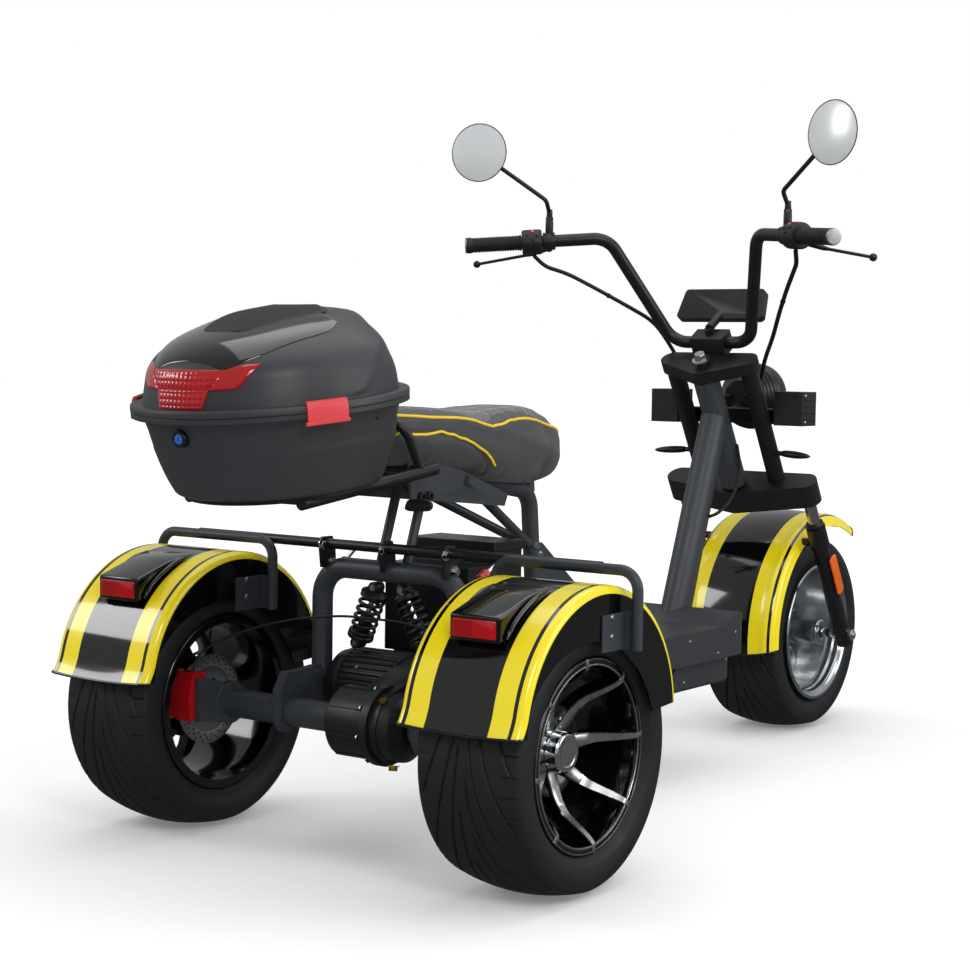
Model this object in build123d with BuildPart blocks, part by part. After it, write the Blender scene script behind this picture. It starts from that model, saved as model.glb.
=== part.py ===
from build123d import *
from math import copysign, cos, pi, radians, sin, tan
import os

os.makedirs("parts", exist_ok=True)

# An electric tricycle: two driven wheels behind, one steered wheel ahead.
# Millimetres. +X is the rider's right, +Y is forward, +Z is up, the ground is Z = 0.
# The origin lies on the ground under the middle of the whole machine.

# ---------------------------------------------------------------- driving sizes
WHEELBASE = 1663.0
REAR_WHEEL_X = 407.0  # middle of the machine to the middle of a rear wheel
REAR_OVERHANG = 476.0  # rear axle back to the rim of the top box
TYRE_RADIUS = 238.5
REAR_TYRE_WIDTH = 207.0
FRONT_TYRE_WIDTH = 202.0
RAKE = 31.0  # lean of the steering axis, degrees from upright
FORK_OFFSET = 32.0  # fork legs ahead of the steering axis
FIT = 0.3  # gap between parts that lie against each other

# ---------------------------------------------------------------- wheels
BEAD_RADIUS = 152.4  # a 12-inch rim
RIM_LIP_RADIUS = 166.0
RIM_WALL = 5.0
RIM_LIP = 6.0
REAR_RIM_WIDTH = 183.0
FRONT_RIM_WIDTH = 206.0
TYRE_SHOULDER = 14.0  # how far the shoulder lies below the crown of the tread
AXLE_RADIUS = 10.0
DISC_RADIUS = 85.0
DISC_WALL = 4.0
DISC_CARRIER_RADIUS = 40.0
HALF_SHAFT_RADIUS = 24.0
AXLE_END = 300.0  # end of the axle housing
CALIPER_PLATE = 12.0
HALF_SHAFT_END = REAR_WHEEL_X - AXLE_END - CALIPER_PLATE - FIT  # inboard of the middle of the wheel
REAR_DISC_INSET = 48.0  # rear disc, inboard of the middle of the wheel
REAR_HUB_RADIUS = 36.0
REAR_HUB_END = 8.0  # hub face, outboard of the middle of the wheel
HUB_CAP_RADIUS = 35.5
HUB_CAP_LENGTH = 40.0
HUB_CAP_CHAMFER = 4.0
SPOKES = 8
SPOKE_TURN = 5.5  # first spoke, degrees up from straight ahead
SPOKE_ROOT_WIDTH = 27.0
SPOKE_TIP_WIDTH = 11.0
SPOKE_DEPTH = 22.0
# face of a spoke between hub and lip: (outboard of the wheel's middle, radius)
SPOKE_DISH = [(16, 75), (35, 101), (67, 126)]
FRONT_HUB_RADIUS = 24.0
FRONT_HUB_FLANGE = 62.0
FRONT_HUB_HALF = 112.0
FRONT_SPOKES = 12

# ---------------------------------------------------------------- fork and steering
FORK_LEG_X = 166.0
FORK_TUBE_X = 96.0
FORK_TUBE_RADIUS = 20.0
STANCHION_RADIUS = 14.5
SLIDER_RADIUS = 23.0
SLIDER_FOOT_RADIUS = 19.0
SLIDER_TOP = 318.0  # along the fork, above the axle
SLIDER_FOOT = 26.0  # below the axle
CROWN_BOTTOM = 388.0
CROWN_TOP = 446.0
CROWN_TIP_RADIUS = 30.0
CLAMP_BOTTOM = 742.0
CLAMP_TOP = 772.0
CLAMP_TIP_RADIUS = 27.0
HEAD_TUBE_RADIUS = 30.0
HEAD_TUBE_BORE = 20.0
STEM_BOSS = 36.0
BAR_RADIUS = 14.0
BAR_UP = 797.0  # handlebar middle, along the fork above the axle
BAR_AHEAD = 30.0
BAR_CLAMP_HALF = 42.0
GRIP_RADIUS = 18.0
GRIP_LENGTH = 125.0

# ---------------------------------------------------------------- frame
DOWN_TUBE_HALF_WIDTH = 31.0
DOWN_TUBE_BASE_DEPTH = 45.0  # half of its depth at the floor
DOWN_TUBE_HEAD_DEPTH = 33.0
RAIL_X = 70.0
RAIL_SIZE = 28.0
RAIL_BOTTOM = 252.0
SEAT_TUBE_RADIUS = 17.0
BRACE_RADIUS = 9.5
ARCH_X = 160.0
ARCH_RADIUS = 19.5
ARCH_DROP = 44.0  # arch below the fender hoops
ARCH_FORWARD = 95.0
AXLE_TUBE_RADIUS = 27.0

# ---------------------------------------------------------------- fenders and rails
FENDER_INNER_X = 281.0
FENDER_OUTER_X = 523.0
FENDER_WALL = 4.0
FENDER_RADIUS = TYRE_RADIUS + 1.5
FENDER_RISE = 45.5  # fender's own centre above the axle
FENDER_END_RISE = 64.5  # its two ends above the axle
LAMP_WIDTH = 87.0
LAMP_HEIGHT = 31.0
LAMP_X = 400.0
LAMP_BACK = TYRE_RADIUS - 40.5  # face of the lamp behind the axle
LAMP_Z = TYRE_RADIUS + 223.5
HOOP_RADIUS = 9.5
HOOP_INNER_X = 257.0
HOOP_OUTER_X = 545.0
HOOP_FORWARD = 63.0
HOOP_TOP = TYRE_RADIUS + FENDER_RISE + FENDER_RADIUS + 20.0
ARCH_TOP = HOOP_TOP - ARCH_DROP
HOOP_LEG = 132.0
HOOP_BEND = 34.0

# ---------------------------------------------------------------- floor and housings
FLOOR_HALF_WIDTH = 170.0
FLOOR_REAR = 640.0
FLOOR_FRONT = WHEELBASE - 491.0
FLOOR_TOP = 318.0
FLOOR_WALL = 4.0
CASE_HALF_WIDTH = 142.0
CASE_BOTTOM = 186.0
BOX_HALF_WIDTH = 97.0  # battery box under the seat
BOX_REAR = 203.0
BOX_FRONT = 378.0
BOX_BOTTOM = 338.0
BOX_STEP = 505.0  # top of its rear half
BOX_STEP_REAR = 283.0
BOX_TOP = 548.0
BOX_COVER = 18.0
BOX_LIP = 5.0

# ---------------------------------------------------------------- top box
CASE_TILT = 7.0  # nose up, with the rack
CASE_HALF = 229.0  # half its width at the rim
CASE_BEHIND = 255.0  # rim's reach behind its widest line
CASE_AHEAD = 187.0  # rim's reach ahead of its widest line
CASE_RIM_Z = 818.0
CASE_DEPTH = 145.0
LID_HEIGHT = 148.0
SHELL = 3.0
RIM_BAND = 12.0  # top of the rim above the parting plane
RIM_UNDER = 9.0  # foot of the rim below it
LATCH_LENGTH = 32.0

# ---------------------------------------------------------------- the shared layout
OVERALL_LENGTH = REAR_OVERHANG + WHEELBASE + TYRE_RADIUS
REAR_Y = REAR_OVERHANG - OVERALL_LENGTH / 2
FRONT_Y = REAR_Y + WHEELBASE
SIDES = {"left": -1, "right": 1}

LEAN = radians(RAKE)
FORK_UP = Vector(0, -sin(LEAN), cos(LEAN))
FORK_AHEAD = Vector(0, cos(LEAN), sin(LEAN))


def station(forward):
    """Y of a point given as its distance ahead of the rear axle."""
    return REAR_Y + forward


def fork(x, up, ahead=0.0):
    """A point given along the fork: up from the front axle and ahead of the fork's line."""
    return Vector(x, FRONT_Y, TYRE_RADIUS) + FORK_UP * up + FORK_AHEAD * ahead


def fork_plane(up, ahead=0.0, x=0.0):
    """A plane square to the fork: its x is the machine's, its y points ahead."""
    return Plane(origin=fork(x, up, ahead), x_dir=(1, 0, 0), z_dir=FORK_UP)


def rod(start, end, radius, mode=Mode.ADD, end_radius=None):
    """A round bar between two points, tapering when end_radius is given."""
    start = Vector(*start)
    end = Vector(*end)
    axis = end - start
    with BuildSketch(Plane(origin=start, z_dir=axis), mode=Mode.PRIVATE) as foot:
        Circle(radius)
    if end_radius is None:
        extrude(foot.sketch, amount=axis.length, mode=mode)
        return
    with BuildSketch(Plane(origin=end, z_dir=axis), mode=Mode.PRIVATE) as head:
        Circle(end_radius)
    loft([foot.sketch, head.sketch], mode=mode)


def tube(points, radii, radius, mode=Mode.ADD):
    """A round tube along straight runs joined by arcs, one radius for each corner."""
    with BuildLine(mode=Mode.PRIVATE) as path:
        FilletPolyline(*points, radius=radii)
    with BuildSketch(Plane(origin=path.line @ 0, z_dir=path.line % 0), mode=Mode.PRIVATE) as ring:
        Circle(radius)
    sweep(ring.sketch, path=path.line, mode=mode)


def turned(profile, x, y, z, mode=Mode.ADD):
    """Turns a profile of (x, radius) points about a line along X through (x, y, z)."""
    with BuildSketch(Plane(origin=(x, y, z), x_dir=(1, 0, 0), z_dir=(0, -1, 0)), mode=Mode.PRIVATE) as half:
        with BuildLine():
            Polyline(*profile, close=True)
        make_face()
    revolve(half.sketch, axis=Axis((x, y, z), (1, 0, 0)), mode=mode)


def block(x, y, z, mode=Mode.ADD):
    """A rectangular block between its two limits along each axis."""
    with BuildSketch(Plane.XY.offset(z[0]), mode=Mode.PRIVATE) as foot:
        with Locations(((x[0] + x[1]) / 2, (y[0] + y[1]) / 2)):
            Rectangle(x[1] - x[0], y[1] - y[0])
    extrude(foot.sketch, amount=z[1] - z[0], mode=mode)


def side_plate(points, x_low, x_high, mode=Mode.ADD):
    """A flat outline of (forward, z) points, given thickness from x_low to x_high."""
    plane = Plane(origin=(x_low, REAR_Y, 0), x_dir=(0, 1, 0), z_dir=(1, 0, 0))
    with BuildSketch(plane, mode=Mode.PRIVATE) as outline:
        with BuildLine():
            Polyline(*points, close=True)
        make_face()
    extrude(outline.sketch, amount=x_high - x_low, mode=mode)


def save(piece, name):
    """Labels a finished piece and writes it."""
    piece.part.label = name
    export_step(piece.part, f"parts/{name}.step")


# ================================================================ wheels
def tyre_section(width):
    """Outline of half a tyre's cross-section, from one bead round the tread to the other."""
    half = width / 2
    bead = half - 20
    shoulder = TYRE_RADIUS - TYRE_SHOULDER
    with BuildLine(mode=Mode.PRIVATE) as outline:
        crown = ThreePointArc(
            (-half + 9, shoulder),
            (0, TYRE_RADIUS),
            (half - 9, shoulder),
        )
        right = Spline(
            crown @ 1,
            (half, (shoulder + RIM_LIP_RADIUS) / 2 + 4),
            (half - 12, RIM_LIP_RADIUS + 4),
        )
        right_seat = Polyline(right @ 1, (bead, RIM_LIP_RADIUS), (bead, BEAD_RADIUS + FIT))
        bore = Line(right_seat @ 1, (-bead, BEAD_RADIUS + FIT))
        left_seat = Polyline(bore @ 1, (-bead, RIM_LIP_RADIUS), (-half + 12, RIM_LIP_RADIUS + 4))
        Spline(
            left_seat @ 1,
            (-half, (shoulder + RIM_LIP_RADIUS) / 2 + 4),
            crown @ 0,
        )
    return outline.line


def wheel_plane(x, y):
    """Section plane of a wheel: its x runs along the axle, its y is the radius."""
    return Plane(origin=(x, y, TYRE_RADIUS), x_dir=(1, 0, 0), z_dir=(0, -1, 0))


def add_rim_barrel(width, x, y):
    """Barrel of a rim with a lip at each edge, turned about the axle."""
    half = width / 2
    inner = BEAD_RADIUS - RIM_WALL
    profile = [
        (-half, inner),
        (half, inner),
        (half, RIM_LIP_RADIUS),
        (half - RIM_LIP, RIM_LIP_RADIUS),
        (half - RIM_LIP, BEAD_RADIUS),
        (-half + RIM_LIP, BEAD_RADIUS),
        (-half + RIM_LIP, RIM_LIP_RADIUS),
        (-half, RIM_LIP_RADIUS),
    ]
    turned(profile, x, y, TYRE_RADIUS)


def make_tyre(name, width, x, y):
    """One low tyre, filling the rim from bead to bead."""
    with BuildPart() as tyre:
        with BuildSketch(wheel_plane(x, y)):
            with BuildLine():
                add(tyre_section(width))
            make_face()
        revolve(axis=Axis((x, y, TYRE_RADIUS), (1, 0, 0)))
    save(tyre, name)


def drill_disc(x, y):
    """Three rings of cooling holes through a brake disc."""
    side = Plane(origin=(x - DISC_WALL, y, TYRE_RADIUS), x_dir=(0, 1, 0), z_dir=(1, 0, 0))
    with BuildSketch(side) as holes:
        for ring, start in ((58, 0), (66, 13), (75, 26)):
            with PolarLocations(ring, 9, start_angle=start):
                Circle(3.2)
    extrude(holes.sketch, amount=DISC_WALL * 2, mode=Mode.SUBTRACT)


def make_rear_wheel(side, sign):
    """Tyre, dished eight-spoke rim, brake disc and hub cap of one rear wheel."""
    x = sign * REAR_WHEEL_X
    y = REAR_Y
    axle = Axis((x, y, TYRE_RADIUS), (1, 0, 0))
    make_tyre(f"rear_tyre_{side}", REAR_TYRE_WIDTH, x, y)

    lip = REAR_RIM_WIDTH / 2
    root = REAR_HUB_RADIUS - 4
    tip = BEAD_RADIUS - RIM_WALL + 1
    face = REAR_HUB_END - FIT
    dish = [(face, root), (face, HUB_CAP_RADIUS + 1), *SPOKE_DISH, (lip - 1, tip)]
    back = [(along - SPOKE_DEPTH, radius) for along, radius in dish[::-1]]
    with BuildPart() as spokes:
        with BuildSketch(wheel_plane(x, y)):
            with BuildLine():
                Polyline(*[(sign * along, radius) for along, radius in dish + back], close=True)
            make_face()
        revolve(axis=axle)
        with BuildSketch(Plane(origin=(x - lip, y, TYRE_RADIUS), x_dir=(0, 1, 0), z_dir=(1, 0, 0))):
            for turn in range(SPOKES):
                angle = radians(SPOKE_TURN + turn * 360 / SPOKES)
                along = Vector(cos(angle), sin(angle))
                across = Vector(-sin(angle), cos(angle))
                with BuildLine():
                    Polyline(
                        along * root - across * SPOKE_ROOT_WIDTH / 2,
                        along * (tip + 1) - across * SPOKE_TIP_WIDTH / 2,
                        along * (tip + 1) + across * SPOKE_TIP_WIDTH / 2,
                        along * root + across * SPOKE_ROOT_WIDTH / 2,
                        close=True,
                    )
                make_face()
        extrude(amount=REAR_RIM_WIDTH, mode=Mode.INTERSECT)

    with BuildPart() as rim:
        add_rim_barrel(REAR_RIM_WIDTH, x, y)
        hub = [
            (-sign * HALF_SHAFT_END, 0),
            (-sign * HALF_SHAFT_END, HALF_SHAFT_RADIUS),
            (-sign * REAR_DISC_INSET, HALF_SHAFT_RADIUS),
            (-sign * REAR_DISC_INSET, DISC_CARRIER_RADIUS),
            (sign * REAR_HUB_END, REAR_HUB_RADIUS),
            (sign * REAR_HUB_END, 0),
        ]
        turned(hub, x, y, TYRE_RADIUS)
        add(spokes.part)
    save(rim, f"rear_rim_{side}")

    disc_x = x - sign * (REAR_DISC_INSET + DISC_WALL / 2)
    with BuildPart() as disc:
        ring = [
            (-DISC_WALL / 2, HALF_SHAFT_RADIUS),
            (-DISC_WALL / 2, DISC_RADIUS),
            (DISC_WALL / 2, DISC_RADIUS),
            (DISC_WALL / 2, HALF_SHAFT_RADIUS),
        ]
        turned(ring, disc_x, y, TYRE_RADIUS)
        drill_disc(disc_x, y)
    save(disc, f"rear_disc_{side}")

    cap_base = x + sign * REAR_HUB_END
    with BuildPart() as cap:
        with BuildSketch(Plane(origin=(cap_base, y, TYRE_RADIUS), z_dir=(sign, 0, 0))):
            Circle(HUB_CAP_RADIUS)
        extrude(amount=HUB_CAP_LENGTH)
        chamfer(cap.faces().sort_by(Axis.X)[-1 if sign > 0 else 0].edges(), HUB_CAP_CHAMFER)
    save(cap, f"hub_cap_{side}")


for side, sign in SIDES.items():
    make_rear_wheel(side, sign)

make_tyre("front_tyre", FRONT_TYRE_WIDTH, 0, FRONT_Y)

with BuildPart() as front_rim:
    add_rim_barrel(FRONT_RIM_WIDTH, 0, FRONT_Y)
    hub_profile = [
        (-FRONT_HUB_HALF, AXLE_RADIUS + FIT),
        (FRONT_HUB_HALF, AXLE_RADIUS + FIT),
        (FRONT_HUB_HALF, FRONT_HUB_RADIUS),
        (-FRONT_HUB_HALF, FRONT_HUB_RADIUS),
    ]
    turned(hub_profile, 0, FRONT_Y, TYRE_RADIUS)
    for x in (-60, 60):
        flange = [
            (x - 5, FRONT_HUB_RADIUS - 1),
            (x + 5, FRONT_HUB_RADIUS - 1),
            (x + 5, FRONT_HUB_FLANGE),
            (x - 5, FRONT_HUB_FLANGE),
        ]
        turned(flange, 0, FRONT_Y, TYRE_RADIUS)
        for turn in range(FRONT_SPOKES):
            angle = radians(turn * 360 / FRONT_SPOKES)
            crossing = angle + radians(24 if turn % 2 else -24)
            inner = FRONT_HUB_FLANGE - 4
            outer = BEAD_RADIUS - RIM_WALL + 1
            rod(
                (x, FRONT_Y + inner * cos(angle), TYRE_RADIUS + inner * sin(angle)),
                (x, FRONT_Y + outer * cos(crossing), TYRE_RADIUS + outer * sin(crossing)),
                4,
            )
save(front_rim, "front_rim")

# the front brake disc is bolted to the left end of the hub
FRONT_DISC_X = -FRONT_HUB_HALF - DISC_WALL / 2
with BuildPart() as front_disc:
    front_ring = [
        (-DISC_WALL / 2, AXLE_RADIUS + FIT),
        (-DISC_WALL / 2, DISC_RADIUS),
        (DISC_WALL / 2, DISC_RADIUS),
        (DISC_WALL / 2, AXLE_RADIUS + FIT),
    ]
    turned(front_ring, FRONT_DISC_X, FRONT_Y, TYRE_RADIUS)
    drill_disc(FRONT_DISC_X, FRONT_Y)
save(front_disc, "front_disc")

# ================================================================ steering
# The fork's own frame is used throughout: x across, up along the legs, ahead square to them.
with BuildPart() as fork_tubes:
    for sign in SIDES.values():
        rod(fork(sign * FORK_TUBE_X, CROWN_TOP), fork(sign * FORK_TUBE_X, CLAMP_BOTTOM), FORK_TUBE_RADIUS)
save(fork_tubes, "fork_tubes")

with BuildPart() as top_clamp:
    with BuildSketch(fork_plane(CLAMP_BOTTOM)):
        with Locations((-FORK_TUBE_X, 0), (FORK_TUBE_X, 0)):
            Circle(CLAMP_TIP_RADIUS)
        with Locations((0, -FORK_OFFSET)):
            Circle(STEM_BOSS)
        make_hull()
    extrude(amount=CLAMP_TOP - CLAMP_BOTTOM)
    with BuildSketch(fork_plane(CLAMP_TOP)):
        with Locations((0, BAR_AHEAD)):
            Rectangle(2 * BAR_CLAMP_HALF, 46)
    extrude(amount=BAR_UP - CLAMP_TOP + BAR_RADIUS + 8)
    rod(
        fork(-BAR_CLAMP_HALF - 1, BAR_UP, BAR_AHEAD),
        fork(BAR_CLAMP_HALF + 1, BAR_UP, BAR_AHEAD),
        BAR_RADIUS,
        Mode.SUBTRACT,
    )
    with BuildSketch(fork_plane(CLAMP_TOP, -FORK_OFFSET)):
        RegularPolygon(12, 6)
    extrude(amount=14)
save(top_clamp, "top_clamp")

with BuildPart() as lower_crown:
    with BuildSketch(fork_plane(CROWN_BOTTOM)):
        with Locations((-FORK_LEG_X, 0), (FORK_LEG_X, 0)):
            Circle(CROWN_TIP_RADIUS)
        with Locations((0, -FORK_OFFSET)):
            Circle(STEM_BOSS)
        make_hull()
    extrude(amount=CROWN_TOP - CROWN_BOTTOM)
    # the stem runs up inside the head tube
    rod(
        fork(0, CROWN_TOP - 1, -FORK_OFFSET),
        fork(0, CLAMP_BOTTOM, -FORK_OFFSET),
        HEAD_TUBE_BORE - FIT,
    )
save(lower_crown, "lower_crown")

with BuildPart() as stanchions:
    for sign in SIDES.values():
        rod(fork(sign * FORK_LEG_X, SLIDER_TOP), fork(sign * FORK_LEG_X, CROWN_BOTTOM), STANCHION_RADIUS)
save(stanchions, "fork_stanchions")

AXLE_HALF = FORK_LEG_X + SLIDER_FOOT_RADIUS + 14
with BuildPart() as front_axle:
    rod((-AXLE_HALF, FRONT_Y, TYRE_RADIUS), (AXLE_HALF, FRONT_Y, TYRE_RADIUS), AXLE_RADIUS)
    for sign in SIDES.values():
        nut_inner = sign * (FORK_LEG_X + SLIDER_FOOT_RADIUS)
        with BuildSketch(Plane(origin=(nut_inner, FRONT_Y, TYRE_RADIUS), z_dir=(sign, 0, 0))):
            RegularPolygon(15, 6)
        extrude(amount=9)
save(front_axle, "front_axle")

with BuildPart() as sliders:
    for sign in SIDES.values():
        rod(fork(sign * FORK_LEG_X, SLIDER_TOP - 60), fork(sign * FORK_LEG_X, SLIDER_TOP), SLIDER_RADIUS)
        foot = fork(sign * FORK_LEG_X, -SLIDER_FOOT)
        rod(foot, fork(sign * FORK_LEG_X, SLIDER_TOP - 60), SLIDER_FOOT_RADIUS)
    rod((-AXLE_HALF, FRONT_Y, TYRE_RADIUS), (AXLE_HALF, FRONT_Y, TYRE_RADIUS), AXLE_RADIUS, Mode.SUBTRACT)
save(sliders, "fork_sliders")

# ---- front caliper, astride its disc and bolted to the left slider
CALIPER_GAP = 5.0  # each side of a disc
CALIPER_CHEEK = 12.0


def fork_side(points, x_low, x_high, mode=Mode.ADD):
    """A flat outline of (ahead, up) points in the fork's frame, thick from x_low to x_high."""
    plane = Plane(origin=fork(x_low, 0), x_dir=FORK_AHEAD, z_dir=(1, 0, 0))
    with BuildSketch(plane, mode=Mode.PRIVATE) as outline:
        with BuildLine():
            Polyline(*points, close=True)
        make_face()
    extrude(outline.sketch, amount=x_high - x_low, mode=mode)


with BuildPart() as front_caliper:
    slot_inner = FRONT_DISC_X + DISC_WALL / 2 + CALIPER_GAP
    slot_outer = FRONT_DISC_X - DISC_WALL / 2 - CALIPER_GAP
    cheek = [(-46, 10), (-100, 10), (-100, 66), (-84, 76), (-52, 72)]
    bridge = [(-91, 10), (-100, 10), (-100, 66), (-84, 76), (-79, 66)]
    fork_side(cheek, slot_inner, slot_inner + CALIPER_CHEEK)
    fork_side(cheek, slot_outer - CALIPER_CHEEK, slot_outer)
    fork_side(bridge, slot_outer, slot_inner)
    bracket_outer = -FORK_LEG_X + SLIDER_FOOT_RADIUS - 3
    fork_side([(6, 22), (-96, 22), (-96, 58), (6, 58)], bracket_outer, slot_outer - CALIPER_CHEEK)
    add(sliders.part, mode=Mode.SUBTRACT)
save(front_caliper, "front_caliper")

# ---- front fender, concentric with the front wheel
FRONT_FENDER_RADIUS = 296.0
FRONT_FENDER_HALF = 128.0
FRONT_FENDER_SIDE = 262.0  # radius at its rolled edges
FRONT_FENDER_START = 58.0  # degrees up from straight ahead
FRONT_FENDER_END = 187.0


def front_fender_outline(inset):
    """Half ring section of the front fender: flat crown, shoulders rolled down to each edge."""
    half = FRONT_FENDER_HALF - inset
    crown = FRONT_FENDER_RADIUS - inset
    edge = FRONT_FENDER_SIDE
    with BuildLine(mode=Mode.PRIVATE) as outline:
        Polyline(
            (-half, edge),
            (-half, crown - 18),
            (-half + 30, crown - 3),
            (half - 30, crown - 3),
            (half, crown - 18),
            (half, edge),
            close=True,
        )
    return outline.line


with BuildPart() as front_fender:
    with BuildSketch(wheel_plane(0, FRONT_Y)):
        with BuildLine():
            add(front_fender_outline(0))
        make_face()
    revolve(axis=Axis((0, FRONT_Y, TYRE_RADIUS), (1, 0, 0)))
    with BuildSketch(wheel_plane(0, FRONT_Y)):
        with BuildLine():
            add(front_fender_outline(FENDER_WALL))
        make_face()
    revolve(axis=Axis((0, FRONT_Y, TYRE_RADIUS), (1, 0, 0)), mode=Mode.SUBTRACT)
    # keep only the part between its two ends
    reach = FRONT_FENDER_RADIUS * 2
    start = radians(FRONT_FENDER_START)
    end = radians(FRONT_FENDER_END)
    middle = (start + end) / 2
    side = Plane(origin=(-FRONT_FENDER_HALF, FRONT_Y, TYRE_RADIUS), x_dir=(0, 1, 0), z_dir=(1, 0, 0))
    with BuildSketch(side):
        with BuildLine():
            Polyline(
                (0, 0),
                (reach * cos(start), reach * sin(start)),
                (reach * cos(middle), reach * sin(middle)),
                (reach * cos(end), reach * sin(end)),
                close=True,
            )
        make_face()
    extrude(amount=2 * FRONT_FENDER_HALF, mode=Mode.INTERSECT)
    # a lug on each side carries it on the slider
    for sign in SIDES.values():
        inner = sign * (FRONT_FENDER_HALF - 1)
        outer = sign * (FORK_LEG_X - SLIDER_RADIUS)
        rod(fork(inner, FRONT_FENDER_SIDE + 8), fork(outer, FRONT_FENDER_SIDE + 8), 9)
    add(sliders.part, mode=Mode.SUBTRACT)
save(front_fender, "front_fender")

# ---- handlebar and what it carries
BAR_MIDDLE = fork(0, BAR_UP, BAR_AHEAD)
BAR_LOW_BEND = Vector(100, 0, 0)
BAR_HIGH_BEND = Vector(190, -153, 233)
BAR_END = Vector(457, -332, 211)
BAR_BENDS = [52, 58]
ALONG_GRIP = (BAR_END - BAR_HIGH_BEND).normalized()
AHEAD_OF_GRIP = Vector(-ALONG_GRIP.Y, ALONG_GRIP.X, 0).normalized()


def sided(sign, offset):
    """An offset from the middle of the handlebar, for the right (+1) or left (-1) side."""
    return BAR_MIDDLE + Vector(sign * offset.X, offset.Y, offset.Z)


def on_bar(sign, inward, ahead=0.0, above=0.0):
    """A point at a distance in from the end of the bar, and off its middle line."""
    offset = BAR_END - ALONG_GRIP * inward + AHEAD_OF_GRIP * ahead + Vector(0, 0, above)
    return sided(sign, offset)


with BuildPart() as handlebar:
    bends = [
        sided(-1, BAR_END),
        sided(-1, BAR_HIGH_BEND),
        sided(-1, BAR_LOW_BEND),
        sided(1, BAR_LOW_BEND),
        sided(1, BAR_HIGH_BEND),
        sided(1, BAR_END),
    ]
    tube(bends, BAR_BENDS[::-1] + BAR_BENDS, BAR_RADIUS)
save(handlebar, "handlebar")

SWITCH_START = GRIP_LENGTH + 1
SWITCH_LENGTH = 46.0
SWITCH_RADIUS = 29.0
PERCH_START = SWITCH_START + SWITCH_LENGTH + 2
PERCH_LENGTH = 28.0
PERCH_RADIUS = 20.0
GRIP_CAP = 4.0

with BuildPart() as grips:
    for sign in SIDES.values():
        rod(on_bar(sign, GRIP_LENGTH), on_bar(sign, -GRIP_CAP), GRIP_RADIUS)
    add(handlebar.part, mode=Mode.SUBTRACT)
save(grips, "grips")

LEVER_PIVOT = (PERCH_START + PERCH_LENGTH / 2, 40, -14)
LEVER_TIP = Vector(500, -232, 174)
LEVER_RADIUS = 7.0
LEVER_BEND = 80.0
LEVER_BALL = 8.5
LEVER_SEAT = 6.7  # end of the perch's arm, short of the lever's own middle
MIRROR_RADIUS = 66.5
MIRROR_CENTRE = Vector(440, -314, 423)
MIRROR_BEND = Vector(298, -247, 315)
MIRROR_TURN = 16.0  # degrees each mirror is turned towards the rider
GLASS_WALL = 2.0


def mirror_plane(sign, centre):
    """Plane of a mirror's rim, facing back and a little towards the rider."""
    turn = radians(MIRROR_TURN)
    inward = -sign * sin(turn)
    return Plane(origin=centre, x_dir=(cos(turn), inward, 0), z_dir=(inward, -cos(turn), 0))


PERCH_MIDDLE = PERCH_START + PERCH_LENGTH / 2
BOSS_TOP = PERCH_RADIUS + 26

# switch housing and lever perch clamped round the bar, with the mirror's boss on top
with BuildPart() as controls:
    for sign in SIDES.values():
        switch_end = SWITCH_START + SWITCH_LENGTH
        rod(on_bar(sign, switch_end), on_bar(sign, SWITCH_START), SWITCH_RADIUS)
        rod(on_bar(sign, PERCH_START + PERCH_LENGTH), on_bar(sign, switch_end - 1), PERCH_RADIUS)
        arm_end = on_bar(sign, PERCH_MIDDLE, LEVER_PIVOT[1] - LEVER_SEAT, LEVER_PIVOT[2])
        rod(on_bar(sign, PERCH_MIDDLE), arm_end, 10)
        rod(on_bar(sign, PERCH_MIDDLE, 0, PERCH_RADIUS - 6), on_bar(sign, PERCH_MIDDLE, 0, BOSS_TOP), 9)
    add(handlebar.part, mode=Mode.SUBTRACT)
save(controls, "controls")

# bent stalk and the round back of each mirror, hollowed for its glass
with BuildPart() as mirrors:
    for sign in SIDES.values():
        base = on_bar(sign, PERCH_MIDDLE, 0, BOSS_TOP + FIT)
        bend = sided(sign, MIRROR_BEND)
        centre = sided(sign, MIRROR_CENTRE)
        rim = mirror_plane(sign, centre)
        tube([base, base + Vector(0, 0, 16), bend, centre - rim.z_dir * 7], [10, 16], 5)
        with BuildSketch(rim, mode=Mode.PRIVATE) as back:
            Circle(MIRROR_RADIUS)
        extrude(back.sketch, amount=-12, taper=22)
        with BuildSketch(rim, mode=Mode.PRIVATE) as seat_of_glass:
            Circle(MIRROR_RADIUS - 2)
        extrude(seat_of_glass.sketch, amount=-GLASS_WALL - FIT, mode=Mode.SUBTRACT)
save(mirrors, "mirrors")

with BuildPart() as mirror_glass:
    for sign in SIDES.values():
        face = mirror_plane(sign, sided(sign, MIRROR_CENTRE))
        with BuildSketch(face.offset(-FIT / 2)):
            Circle(MIRROR_RADIUS - 2.2)
        extrude(amount=-GLASS_WALL)
save(mirror_glass, "mirror_glass")

with BuildPart() as levers:
    pivot = on_bar(1, *LEVER_PIVOT)
    tip = sided(1, LEVER_TIP)
    knuckle = pivot + (tip - pivot) * 0.3 + Vector(0, 9, -3)
    tube([pivot, knuckle, tip], [LEVER_BEND], LEVER_RADIUS)
    with Locations(tip):
        Sphere(LEVER_BALL)
    mirror(about=Plane.YZ)
save(levers, "levers")

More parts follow.
